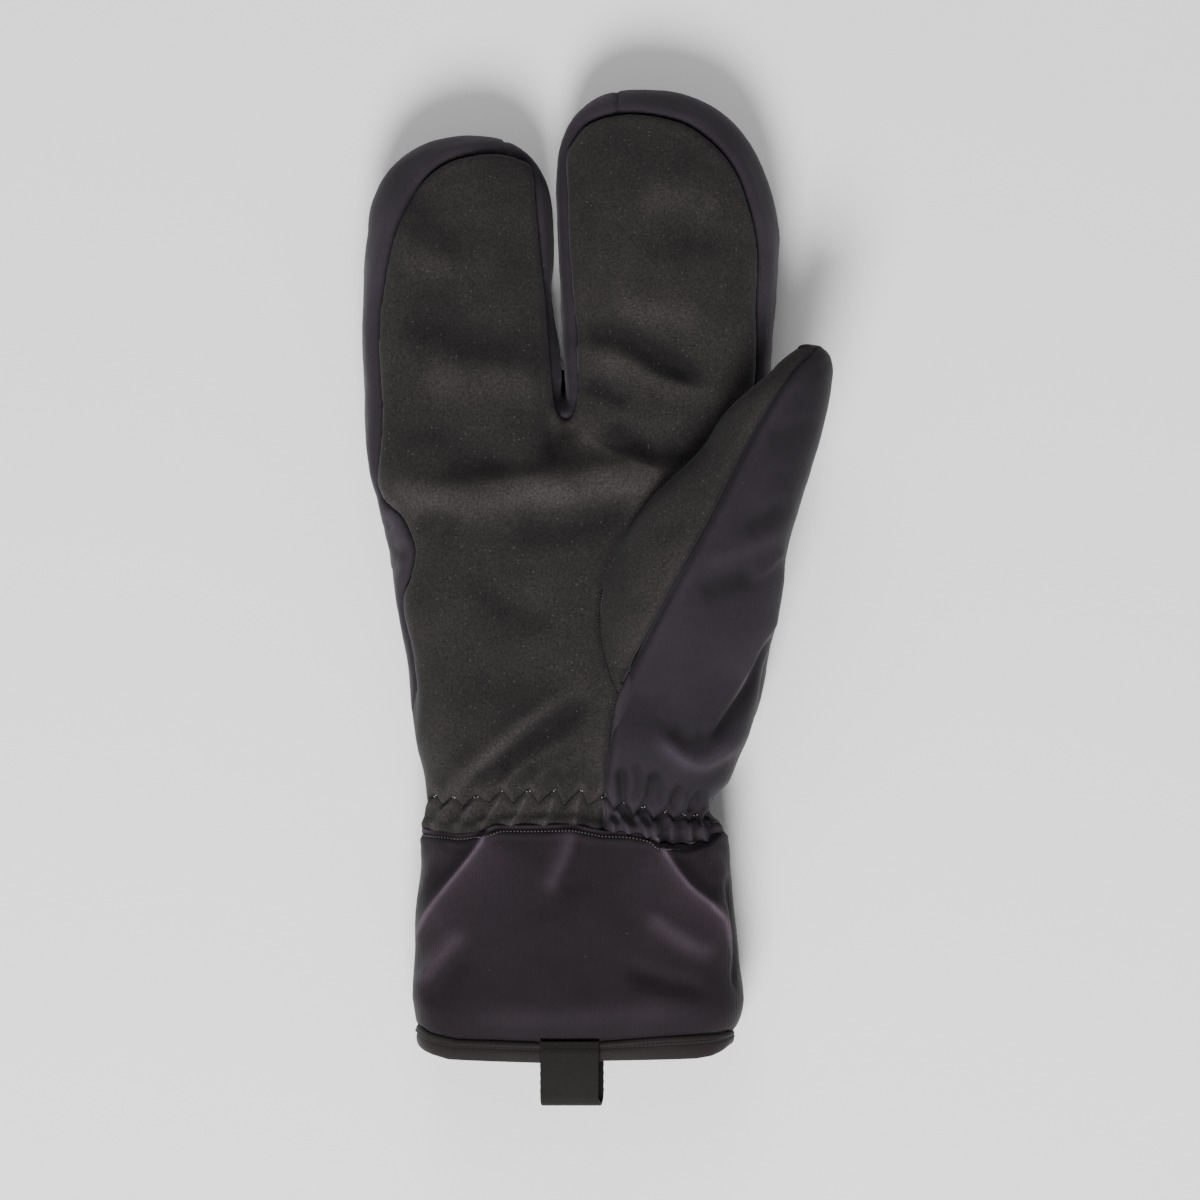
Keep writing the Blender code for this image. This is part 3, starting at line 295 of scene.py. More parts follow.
# The pleats below the elastic and the puckers above it
GATHER_LINES = (
    Line(((437, 794), (430, 812), (424, 832)), 2.4, 0.8, 1.6, True),
    Line(((454, 795), (446, 813), (437, 832)), 2.4, 0.8, 2.2, True),
    Line(((477, 794), (468, 812), (456, 832)), 2.4, 0.8, 2.4, True),
    Line(((503, 789), (494, 809), (480, 832)), 2.5, 0.8, 2.6, True),
    Line(((529, 788), (521, 808), (508, 832)), 2.5, 0.8, 2.8, True),
    Line(((556, 788), (550, 810), (542, 832)), 2.5, 0.8, 2.8, True),
    Line(((581, 788), (577, 810), (573, 834)), 2.5, 0.8, 2.6, True),
    Line(((603, 794), (607, 812), (616, 834)), 2.4, 1.6, 0.8, True),
    Line(((605, 797), (619, 815), (633, 838)), 2.4, 1.6, 0.7, True),
    Line(((625, 803), (637, 817), (650, 838)), 2.6, 1.8, 0.7, True),
    Line(((645, 805), (653, 822), (659, 846)), 2.6, 1.6, 0.7, True),
    Line(((666, 809), (671, 824), (668, 848)), 2.6, 1.6, 0.7, True),
    Line(((683, 813), (688, 826), (688, 848)), 2.6, 1.4, 0.6, True),
    Line(((696, 814), (700, 826), (703, 846)), 2.4, 1.2, 0.6, True),
    Line(((707, 815), (712, 824), (717, 838)), 2.2, 1.0, 0.6, True),
)
PUCKER_LINES = (
    Line(((464, 807), (472, 786), (486, 766)), -1.0, 1.4, 1.4),
    Line(((490, 802), (499, 780), (512, 758)), -1.0, 1.5, 1.5),
    Line(((513, 803), (524, 780), (538, 760)), -1.0, 1.5, 1.5),
    Line(((539, 803), (550, 780), (562, 764)), -1.0, 1.5, 1.5),
    Line(((564, 806), (572, 784), (582, 768)), -1.0, 1.5, 1.5),
    Line(((588, 805), (594, 786), (599, 770)), -1.0, 1.4, 1.4),
    Line(((624, 803), (621, 784), (618, 766)), -1.2, 1.4, 1.4),
    Line(((644, 806), (650, 786), (652, 770)), -1.2, 1.4, 1.4),
    Line(((666, 811), (674, 796), (682, 782)), -1.1, 1.3, 1.3),
    Line(((684, 815), (692, 800), (701, 786)), -0.9, 1.2, 1.2),
)
# The cuff's top edge, and the hem band's top and foot, in the photograph's pixels
CUFF_TOP = (
    (400, 830), (424, 829), (457, 832), (487, 829), (499, 824), (538, 824), (572, 823),
    (602, 829), (630, 830), (650, 834), (657, 841), (687, 843), (707, 837), (718, 826),
    (735, 826),
)  # fmt: skip
HEM_TOP = (
    (405, 1020), (416, 1024), (430, 1032), (457, 1037), (538, 1039), (602, 1038), (662, 1034),
    (731, 1031), (745, 1028),
)  # fmt: skip
HEM_FOOT = (
    (405, 1044), (417, 1046), (422, 1049), (430, 1052), (446, 1056), (538, 1059), (604, 1057),
    (700, 1055), (714, 1053), (724, 1049), (731, 1044), (745, 1041),
)  # fmt: skip

# The cuff's sections, from the wrist seam to its end
CUFF = rows_of(
    Section,
    (0.000, -0.415, 0.306, 0.838), (0.050, -0.423, 0.319, 0.890), (0.200, -0.421, 0.326, 0.930),
    (0.420, -0.434, 0.334, 0.960), (0.640, -0.437, 0.343, 0.980), (0.850, -0.442, 0.356, 1.000),
    (0.930, -0.436, 0.350, 0.990), (1.000, -0.430, 0.333, 0.970),
)  # fmt: skip

# The photograph's frame, with the pixel that the wrist seam's middle is at
PHOTO_SIZE = 1200
WRIST_PIXEL = (595.5, 829)
WIDTH_PIXELS = 415.2
LENGTH_PIXELS = 740
LENS = 250.0
SENSOR = 36.0
FOCUS_HEIGHT = 20 * MM
NOTCH_PIXEL = (565, 405)  # between the two finger pockets
NOTCH_REACH = 7 * MM
NOTCH_ROUNDS = 14
LOOP_STITCH_LINE = ((543, 1045), (601, 1045))
# Stitched seams at the thumb's base
THUMB_STITCH_LINES = (
    ((602, 590), (599, 617), (601, 642), (608, 670), (617, 694)),
    ((641, 650), (629, 673), (618, 694), (612, 718), (608, 750), (606, 775), (605, 792)),
)
# Short seams across the lips of the two finger pockets
LIP_SEAMS = (
    ((505, 138), (505, 144), (511, 153)),
    ((616, 84), (617, 95), (618, 114)),
)


def across(share):
    return MIDDLE_X + share * HAND_WIDTH


def along(share):
    return WRIST_Y + share * HAND_LENGTH


def seen(points):
    """Places in metres of points given in the photograph's pixels."""
    points = np.asarray(points, float)
    x = MIDDLE_X + (points[..., 0] - WRIST_PIXEL[0]) / WIDTH_PIXELS * HAND_WIDTH
    y = WRIST_Y + (WRIST_PIXEL[1] - points[..., 1]) / LENGTH_PIXELS * HAND_LENGTH
    return np.stack([x, y], -1)


def smooth(rows, column, where):
    """The named column of a table at a place along it, on a cubic that keeps each row's value."""
    places = [row[0] for row in rows]
    values = [getattr(row, column) for row in rows]
    where = min(max(where, places[0]), places[-1])
    last = len(places) - 1
    i = min(max(int(np.searchsorted(places, where, side="right")) - 1, 0), last - 1)
    before = max(i - 1, 0)
    after = min(i + 2, last)
    step = places[i + 1] - places[i]
    slope_1 = (values[i + 1] - values[before]) / (places[i + 1] - places[before])
    slope_2 = (values[after] - values[i]) / (places[after] - places[i])
    t = (where - places[i]) / step
    return (
        (2 * t**3 - 3 * t**2 + 1) * values[i]
        + (t**3 - 2 * t**2 + t) * step * slope_1
        + (3 * t**2 - 2 * t**3) * values[i + 1]
        + (t**3 - t**2) * step * slope_2
    )


def smooth_points(points, steps):
    """Points on a curve through the given ones."""
    points = [np.array(p, float) for p in points]
    ends = [points[0], *points, points[-1]]
    line = []
    for i in range(len(points) - 1):
        p0, p1, p2, p3 = ends[i : i + 4]
        for step in range(steps):
            t = step / steps
            line.append(
                0.5 * (2 * p1 + (p2 - p0) * t + (2 * p0 - 5 * p1 + 4 * p2 - p3) * t**2
                       + (3 * p1 - p0 - 3 * p2 + p3) * t**3)
            )  # fmt: skip
    line.append(points[-1])
    return np.array(line)


def smooth_line(points, steps):
    """Points on a curve through seam points, in metres."""
    return np.array([(across(a), along(b)) for a, b in smooth_points(points, steps)])


def rolled(distance, roll):
    """Height of a rolled edge, from 0 at the edge to 1 at roll or further in."""
    left = np.clip(1 - np.maximum(distance, 0) / roll, 0, 1)
    return (1 - left**ROUNDNESS) ** (1 / ROUNDNESS)


def step_up(value, low, high):
    t = np.clip((value - low) / (high - low), 0, 1)
    return t * t * (3 - 2 * t)


def bell(away, width):
    """A smooth rise that is 1 at no distance and falls off over a width."""
    return np.exp(-((away / width) ** 2))


def level_on(line, x):
    """How high, along the glove, a line that runs across it lies at places x."""
    return np.interp(x, line[:, 0], line[:, 1])


def edges_at(rows, place):
    """The left and right edge of a table's shape at a place along it, in metres."""
    return across(smooth(rows, "left", place)), across(smooth(rows, "right", place))


def fold_height(folds, x, y_share, length):
    """The sum of the folds at places x (metres) and y_share, as a share of the thickness."""
    total = np.zeros(np.broadcast(x, y_share).shape)
    ratio = length / HAND_WIDTH
    share = (x - MIDDLE_X) / HAND_WIDTH
    for fold in folds:
        ax = fold.across_1
        ay = fold.along_1 * ratio
        dx = fold.across_2 - ax
        dy = fold.along_2 * ratio - ay
        px = share - ax
        py = y_share * ratio - ay
        t = np.clip((px * dx + py * dy) / (dx * dx + dy * dy), 0, 1)
        away = np.hypot(px - t * dx, py - t * dy)
        total = total + fold.rise * bell(away, fold.width)
    return total


def nearest_on(points, line):
    """Distance, side, place along and nearest point of a polyline, for each point (x, y)."""
    best = np.full(len(points), 1e9)
    side = np.zeros(len(points))
    run_at = np.zeros(len(points))
    nearest = np.zeros((len(points), 2))
    lengths = np.hypot(*np.diff(line, axis=0).T)
    starts = np.concatenate([[0], np.cumsum(lengths)])
    for k, (a, b) in enumerate(zip(line, line[1:])):
        run = b - a
        if lengths[k] < 1e-9:
            continue
        offset = points - a
        t = np.clip((offset @ run) / (run @ run), 0, 1)
        place = a + t[:, None] * run
        away = np.hypot(*(points - place).T)
        closer = away < best
        best[closer] = away[closer]
        cross = run[0] * offset[:, 1] - run[1] * offset[:, 0]
        side[closer] = np.sign(cross[closer])
        nearest[closer] = place[closer]
        run_at[closer] = starts[k] + t[closer] * lengths[k]
    return best, side, run_at / starts[-1], nearest


def lines_height(lines, points):
    """The sum in metres of drawn creases at places (x, y)."""
    total = np.zeros(len(points))
    for line in lines:
        curve = smooth_points(seen(line.points), 5)
        reach = 4 * max(line.left, line.right) * MM
        low = curve.min(axis=0) - reach
        high = curve.max(axis=0) + reach
        near = np.flatnonzero(((points > low) & (points < high)).all(axis=1))
        if not len(near):
            continue
        away, side, t, _ = nearest_on(points[near], curve)
        width = np.where(side > 0, line.left, line.right) * MM
        if line.crisp:
            shape = np.exp(-(np.sqrt(away**2 + CREST_RADIUS**2) - CREST_RADIUS) / width)
        else:
            shape = bell(away, width)
        fade = np.minimum(np.clip(t / FADE, 0, 1), np.clip((1 - t) / FADE, 0, 1))
        fade = END_HEIGHT + (1 - END_HEIGHT) * fade * fade * (3 - 2 * fade)
        total[near] += line.rise * MM * shape * fade
    return total


def inside(points, outline):
    """Which points (x, y) lie in a closed outline."""
    found = np.zeros(len(points), bool)
    x, y = points.T
    for a, b in zip(outline, np.roll(outline, -1, axis=0)):
        crosses = (a[1] > y) != (b[1] > y)
        if a[1] != b[1]:
            at = (b[0] - a[0]) * (y - a[1]) / (b[1] - a[1]) + a[0]
            found ^= crosses & (x < at)
    return found


class HandSection:
    """One cross-section of the hand or of a finger pocket."""

    def __init__(self, place, left, right, height, shrink=1.0):
        self.place = place
        self.left = left
        self.right = right
        self.roll = min(EDGE_ROLL, (right - left) / 2)
        self.margin = min(PALM_MARGIN, PALM_MARGIN * self.roll / EDGE_ROLL)
        self.side = SIDE_HEIGHT * height
        self.rise = (height - self.side) * shrink
        self.drop = self.side * BOTTOM_PRESS * shrink

    def crown(self, x):
        half = (self.right - self.left) / 2
        t = (x - (self.left + self.right) / 2) / half
        return 1 - CROWN * t * t

    def skin(self, x):
        near = np.minimum(x - self.left, self.right - x)
        return self.side + self.rise * self.crown(x) * rolled(near, self.roll)

    def top(self, x):
        near = np.minimum(x - self.left, self.right - x)
        inland = np.clip(near / self.roll, 0, 1)
        fold = fold_height(PALM_FOLDS, x, self.place, HAND_LENGTH)
        return self.skin(x) + fold * HAND_THICKNESS * inland

    def bottom(self, x):
        near = np.minimum(x - self.left, self.right - x)
        return np.maximum(0.0, self.side - self.drop * rolled(near, self.roll))

    def flat_edge(self):
        """How far in from the side edge the back meets the floor, or would be lowest."""
        reach = min(1.0, self.side / self.drop)
        return self.roll * (1 - (1 - reach**ROUNDNESS) ** (1 / ROUNDNESS))

    def turn(self, step, toward_right):
        """Points of the side, from the palm sheet's edge (step 0) to the flat back (step 1)."""
        start = math.acos((1 - self.margin / self.roll) ** (ROUNDNESS / 2))
        end = -math.acos(max(0.0, 1 - self.flat_edge() / self.roll) ** (ROUNDNESS / 2))
        angle = start + (end - start) * step
        inward = self.roll * (1 - np.maximum(np.cos(angle), 0) ** (2 / ROUNDNESS))
        x = self.right - inward if toward_right else self.left + inward
        lift = np.abs(np.sin(angle)) ** (2 / ROUNDNESS)
        z = np.where(angle < 0, self.side - self.drop * lift,
                     self.side + self.rise * self.crown(x) * lift)  # fmt: skip
        return x, z


def section_of(rows, place):
    height = HAND_THICKNESS * smooth(rows, "height", place)
    section = HandSection(place, *edges_at(rows, place), height)
    if place < 0:
        tuck = TUCK * min(1.0, -place / TUCK_REACH)
        section.left += tuck
        section.right -= tuck
        section.rise -= tuck
    return section


def dome_section(rows, dome, s):
    base = rows[-1]
    narrow = (1 - s**dome.squareness) ** (1 / dome.squareness)
    thin = (1 - s**DOME_PROFILE) ** (1 / DOME_PROFILE)
    middle = (base.left + base.right) / 2 + dome.drift * s**1.3
    half = (base.right - base.left) / 2 * narrow
    place = base.along + (dome.tip - base.along) * s
    height = HAND_THICKNESS * base.height
    return HandSection(place, across(middle - half), across(middle + half), height, thin)


def row_points(path, y):
    return np.column_stack([path[:, 0], np.full(len(path), y), path[:, 1]])


def outer_path(section, base, sign, start, palm_x, palm_z):
    """Points (x, z) of the back from start, the outer side, and the palm sheet."""
    flat = section.flat_edge()
    outer = section.right - flat if sign > 0 else section.left + flat
    x = np.linspace(start, outer, BACK_COLUMNS + 1)[:-1]
    steps = np.linspace(1, 0, SIDE_COLUMNS + 1)[:-1]
    return np.concatenate([
        np.column_stack([x, base.bottom(x)]),
        np.column_stack(section.turn(steps, sign > 0)),
        np.column_stack([palm_x, palm_z]),
    ])  # fmt: skip


def palm_edge(section, sign):
    return section.right - section.margin if sign > 0 else section.left + section.margin


def inner_side(section, sign):
    """Points (x, z) of a pocket's side at the crotch, down from the palm sheet's edge."""
    steps = np.arange(1, SIDE_COLUMNS + 1) / SIDE_COLUMNS
    return np.column_stack(section.turn(steps, sign < 0))


def hand_grids():
    """Two grids of points, left half and right half, row by row from inside the cuff."""
    middle = across(MIDLINE)
    grids = {-1: [], 1: []}
    crotch = {-1: section_of(LEFT_POCKET, CROTCH_PALM), 1: section_of(RIGHT_POCKET, CROTCH_PALM)}
    meeting = float(crotch[-1].turn(np.array([0.0]), True)[1][0])
    fine = int((GATHER_TOP - UNDER_CUFF) * HAND_LENGTH / FINE_CELL)
    coarse = int((CROTCH_PALM - GATHER_TOP) * HAND_LENGTH / CELL)
    places = np.concatenate([np.linspace(UNDER_CUFF, GATHER_TOP, fine + 1)[:-1],
                             np.linspace(GATHER_TOP, CROTCH_PALM, coarse + 1)])  # fmt: skip
    for place in places:
        section = section_of(BODY, place)
        close = float(step_up(place, CROTCH_PALM - CROTCH_BLEND, CROTCH_PALM))
        for sign in (-1, 1):
            x = np.linspace(palm_edge(section, sign), middle, PALM_COLUMNS + 1)
            z = section.top(x)
            if close > 0:
                pocket = crotch[sign]
                limit = palm_edge(pocket, -sign)
                clamped = np.minimum(x, limit) if sign < 0 else np.maximum(x, limit)
                z = z + close * (pocket.skin(clamped) - section.skin(x))
                shared = section.top(middle) + close * (meeting - section.skin(middle))
                z[-1] = shared
            path = outer_path(section, section, sign, middle, x, z)
            extra = np.repeat([[middle, z[-1]]], SIDE_COLUMNS, axis=0)
            grids[sign].append(row_points(np.concatenate([path, extra]), along(place)))
    for j in range(1, SIDE_COLUMNS + 1):
        place = CROTCH_PALM + (CROTCH_BACK - CROTCH_PALM) * j / SIDE_COLUMNS
        pockets = {-1: section_of(LEFT_POCKET, place), 1: section_of(RIGHT_POCKET, place)}
        whole = section_of(BODY, place)
        step = np.array([j / SIDE_COLUMNS])
        depth = 0.0 if j == SIDE_COLUMNS else float(pockets[-1].turn(step, True)[1][0])
        opened = float(step_up(j, 0, 8))
        for sign in (-1, 1):
            section = pockets[sign]
            inner = palm_edge(section, -sign)
            shift = (middle - inner) * (1 - opened)
            x = np.linspace(palm_edge(section, sign), inner + shift, PALM_COLUMNS + 1)
            clamped = np.minimum(x, inner) if sign < 0 else np.maximum(x, inner)
            path = outer_path(section, whole, sign, middle, x, section.top(clamped))
            side = inner_side(section, sign)
            side[:, 0] += shift
            side[j - 1 :] = (middle, depth)
            grids[sign].append(row_points(np.concatenate([path, side]), along(place)))
    for sign, table, dome in ((-1, LEFT_POCKET, LEFT_DOME), (1, RIGHT_POCKET, RIGHT_DOME)):
        last = table[-1].along
        count = int((last - CROTCH_BACK) * HAND_LENGTH / CELL)
        sections = [section_of(table, p) for p in np.linspace(CROTCH_BACK, last, count + 1)[1:]]
        reach = (dome.tip - last) * HAND_LENGTH
        angles = np.linspace(0, math.pi / 2, int(reach * 1.5 / CELL))[1:-1]
        sections += [dome_section(table, dome, math.sin(angle)) for angle in angles]
        for section in sections:
            flat = section.flat_edge()
            start = section.left + flat if sign > 0 else section.right - flat
            inner = palm_edge(section, -sign)
            x = np.linspace(palm_edge(section, sign), inner, PALM_COLUMNS + 1)
            path = outer_path(section, section, sign, start, x, section.top(x))
            side = inner_side(section, sign)
            side[-1] = path[0]
            grids[sign].append(row_points(np.concatenate([path, side]), along(section.place)))
        base = table[-1]
        tip = (across((base.left + base.right) / 2 + dome.drift), along(dome.tip),
               SIDE_HEIGHT * base.height * HAND_THICKNESS)  # fmt: skip
        grids[sign].append(np.repeat([tip], len(grids[sign][0]), axis=0))
    return [np.array(grids[-1]), np.array(grids[1])]


def add_object(name, data):
    obj = bpy.data.objects.new(name, data)
    bpy.context.scene.collection.objects.link(obj)
    return obj


def new_mesh(name, points, faces, material):
    mesh = bpy.data.meshes.new(name)
    mesh.from_pydata(points.tolist(), [], [list(dict.fromkeys(face)) for face in faces.tolist()])
    mesh.materials.append(material)
    return mesh


def add_neighbours(total, values, ends):
    """Adds to the total at each end of the edges the value at the other end."""
    np.add.at(total, ends[:, 0], values[ends[:, 1]])
    np.add.at(total, ends[:, 1], values[ends[:, 0]])


def degrees_of(ends, count):
    """How many edges meet at each point."""
    return (np.bincount(ends[:, 0], minlength=count)
            + np.bincount(ends[:, 1], minlength=count))  # fmt: skip


class Surface:
    """Points and faces of a surface, made from grids of points, with its faces turned outward."""

    def __init__(self, grids, flips, centre):
        points = []
        faces = []
        first = 0
        for grid, flip in zip(grids, flips):
            rows, columns = grid.shape[:2]
            index = first + np.arange(rows * columns).reshape(rows, columns)
            quads = np.stack([index[:-1, :-1], index[:-1, 1:], index[1:, 1:], index[1:, :-1]], -1)
            quads = quads.reshape(-1, 4)
            faces.append(quads[:, ::-1] if flip else quads)
            points.append(grid.reshape(-1, 3))
            first += rows * columns
        points = np.concatenate(points)
        faces = np.concatenate(faces)
        _, index, back = np.unique(np.round(points / 1e-7), axis=0, return_index=True,
                                   return_inverse=True)  # fmt: skip
        self.points = points[index]
        self.faces = back.reshape(-1)[faces]
        distinct = (self.faces[:, [0, 0, 0, 1, 1, 2]] != self.faces[:, [1, 2, 3, 2, 3, 3]]).sum(1)
        self.faces = self.faces[distinct >= 5]
        out = self.centres() - np.asarray(centre)
        if (self.face_normals() * out).sum() < 0:
            self.faces = self.faces[:, ::-1]

    def face_normals(self):
        a, b, c, d = (self.points[self.faces[:, k]] for k in range(4))
        return np.cross(c - a, d - b)

    def normals(self):
        face_normals = self.face_normals()
        total = np.zeros_like(self.points)
        for k in range(4):
            np.add.at(total, self.faces[:, k], face_normals)
        length = np.linalg.norm(total, axis=1, keepdims=True)
        return total / np.maximum(length, 1e-12)

    def centres(self):
        return self.points[self.faces].mean(axis=1)

    def sides(self):
        """The two ends of each side of each face."""
        return np.concatenate([self.faces[:, [k, (k + 1) % 4]] for k in range(4)])

    def off_floor(self):
        """0 for points on the floor, rising to 1 a little above it."""
        return step_up(self.points[:, 2], 0.0, FREE_HEIGHT)

    def rest_on_floor(self):
        self.points[:, 2] = np.maximum(self.points[:, 2], 0.0)

    def shift(self, move):
        self.points = self.points + self.normals() * move[:, None]

    def calm(self, rounds, where):
        """Evens the chosen points out a little, each toward the mean of its neighbours."""
        count = len(self.points)
        edges = self.sides()
        edges = edges[edges[:, 0] != edges[:, 1]]
        rim = np.zeros(count, bool)
        ordered = np.sort(edges, axis=1)
        _, first, uses = np.unique(ordered, axis=0, return_index=True, return_counts=True)
        rim[ordered[first[uses == 1]].reshape(-1)] = True
        free = where & ~rim
        degree = degrees_of(edges, count)
        for _ in range(rounds):
            total = np.zeros_like(self.points)
            add_neighbours(total, self.points, edges)
            mean = total / np.maximum(degree, 1)[:, None]
            self.points[free] += 0.5 * (mean[free] - self.points[free])

    def tree(self):
        return BVHTree.FromPolygons(self.points.tolist(), self.faces.tolist())

    def piece(self, name, keep, material, wall=WALL, relief=None):
        """A closed piece of cloth from some of the faces, thickened inward.

        Its relief attribute, from -1 in a valley to 1 on a crest, is for the cloth's painted shade in
        the valleys and painted highlight on the crests.
        """
        used, faces = np.unique(self.faces[keep], return_inverse=True)
        mesh = new_mesh(name, self.points[used], faces.reshape(-1, 4), material)
        if relief is not None:
            values = mesh.attributes.new("relief", "FLOAT", "POINT")
            values.data.foreach_set("value", np.clip(relief[used], -1, 1).astype(np.float32))
        obj = add_object(name, mesh)
        thicken(obj, wall)
        obj.data.shade_smooth()
        return obj


def broad_normals(work, rounds=10):
    """The normals without the small folds, so that the inner side can't pass through a crest."""
    normals = np.array([tuple(v.normal) for v in work.verts])
    ends = np.array([(e.verts[0].index, e.verts[1].index) for e in work.edges])
    for _ in range(rounds):
        total = normals.copy()
        add_neighbours(total, normals, ends)
        normals = total / np.maximum(np.linalg.norm(total, axis=1, keepdims=True), 1e-9)
    return normals


def thicken(obj, wall):
    """Adds an inner side and a rim to an open sheet, and drops loose crumbs."""
    work = bmesh.new()
    work.from_mesh(obj.data)
    keep_largest(work)
    work.normal_update()
    work.verts.index_update()
    outer = list(work.verts)
    normals = broad_normals(work) if wall > THICK_WALL else [v.normal for v in outer]
    inner = [work.verts.new(v.co - Vector(n) * wall) for v, n in zip(outer, normals)]
    for v in inner:
        v.co.z = max(v.co.z, INNER_FLOOR)
    relief = work.verts.layers.float.get("relief")
    if relief:
        for a, b in zip(outer, inner):
            b[relief] = a[relief]
    rim = [(e.verts[0], e.verts[1], e.link_faces[0]) for e in work.edges if len(e.link_faces) == 1]
    for face in list(work.faces):
        work.faces.new([inner[v.index] for v in reversed(face.verts)])
    for a, b, face in rim:
        loop = list(face.verts)
        k = loop.index(a)
        if loop[(k + 1) % len(loop)] == b:
            a, b = b, a
        work.faces.new((a, b, inner[b.index], inner[a.index]))
    work.to_mesh(obj.data)
    work.free()


def keep_largest(work):
    """Drops all but the largest joined group of faces."""
    left = set(work.verts)
    islands = []
    while left:
        stack = [left.pop()]
        island = set(stack)
        while stack:
            for edge in stack.pop().link_edges:
                for vert in edge.verts:
                    if vert in left:
                        left.discard(vert)
                        island.add(vert)
                        stack.append(vert)
        islands.append(island)
    largest = max(islands, key=len)
    crumbs = [v for v in work.verts if v not in largest]
    bmesh.ops.delete(work, geom=crumbs, context="VERTS")


def seam_depth(points, line, depth=GROOVE_DEPTH, width=GROOVE_WIDTH):
    """How far the cloth is drawn in along a seam, and swells a little beside it."""
    away = nearest_on(points[:, :2], line)[0]
    pucker = 1 + 0.07 * noise(points, 5 * MM, 3)
    sink = depth * bell(away, width) * pucker
    swell = SEAM_PUFF * bell(away - 3.4 * width, 1.8 * width)
    return swell - sink


def snap_to_line(surface, chosen, line):
    """Moves the points between chosen and other faces onto a seam, and returns which they are."""
    count = len(surface.points)
    touched = np.zeros(count, bool)
    other = np.zeros(count, bool)
    touched[surface.faces[chosen].reshape(-1)] = True
    other[surface.faces[~chosen].reshape(-1)] = True
    edge = np.flatnonzero(touched & other)
    flat = surface.points[edge, :2]
    away, _, _, place = nearest_on(flat, line)
    normals = surface.normals()
    close = (away < 1.2 * CELL) & (normals[edge, 2] > 0.25)
    edge = edge[close]
    shift = place[close] - flat[close]
    normals = normals[edge]
    slope = -(normals[:, :2] * shift).sum(axis=1) / np.maximum(normals[:, 2], 0.35)
    surface.points[edge, :2] += shift
    surface.points[edge, 2] += slope
    return edge


def even_cut(surface, chosen, fixed, rounds=24):
    """Evens out the steps in the cut round chosen faces, apart from the points already placed."""
    count = len(surface.points)
    ends = surface.sides()
    ends.sort(axis=1)
    inside_cut = np.tile(chosen, 4)
    real = ends[:, 0] != ends[:, 1]
    ends = ends[real]
    keys, where, uses = np.unique(ends[:, 0] * count + ends[:, 1], return_inverse=True,
                                  return_counts=True)  # fmt: skip
    inner_uses = np.bincount(where.reshape(-1), weights=inside_cut[real])
    cut = keys[(uses == 2) & (inner_uses == 1)]
    cut = np.column_stack([cut // count, cut % count])
    free = degrees_of(cut, count) == 2
    free[fixed] = False
    for _ in range(rounds):
        total = np.zeros((count, 3))
        add_neighbours(total, surface.points, cut)
        surface.points[free] = 0.5 * surface.points[free] + 0.25 * total[free]


def noise(points, size, seed):
    """Smooth seeded noise in the unit range, from a few sine waves in mixed directions."""
    rng = np.random.default_rng(seed)
    total = np.zeros(len(points))
    for _ in range(9):
        direction = rng.normal(size=3)
        direction /= np.linalg.norm(direction)
        frequency = 2 * math.pi / size * rng.uniform(0.6, 1.6)
        total += np.sin(points @ direction * frequency + rng.uniform(0, 2 * math.pi))
    return total / 4


def loose_cloth(points, seed, amount=1.0):
    """Slight unevenness of padded cloth, large and small."""
    return amount * MM * (0.35 * noise(points, 38 * MM, seed) + 0.12 * noise(points, 15 * MM, seed + 1)
                          + 0.04 * noise(points, 5 * MM, seed + 2))  # fmt: skip


def palm_outline():
    return smooth_line(LEFT_SEAM + CROTCH_SEAM + RIGHT_SEAM + THUMB_SEAM + HEEL_SEAM, 8)


def heel_area():
    seam = smooth_line(THUMB_SEAM + HEEL_SEAM, 8)
    far = across(0.8)
    return np.concatenate([seam, [(far, seam[-1][1]), (far, seam[0][1])]])


# The wrist's gathers: how far each effect goes on the palm, and how much farther on the heel, in mm
HEEL_EDGE = (598, 606)  # where the heel's gathers take over, in pixels across
GATHER_DROP = (0.5, 1.2)  # the cloth under the elastic lies lower
SEWN_LIFT = (0.9, 1.1)  # it is held up where the cuff is sewn to it
THREAD_BITE = (0.5, 0.4)  # the elastic's thread cuts in
GATHER_DEPTH = (0.85, 0.25)  # the share of the drawn pleats' height
EVEN_DROP = 0.35  # how much of the drop counts as fold for the painted shade
PLEAT_LIMIT = 2.6 * MM
BAND_ABOVE = 12 * MM  # how far above the elastic's highest point the puckers reach
BAND_BELOW = 8 * MM  # how far below the wrist seam the pleats reach
PUFF_RISE = 2.6 * MM  # where the cloth swells above the elastic, and how widely


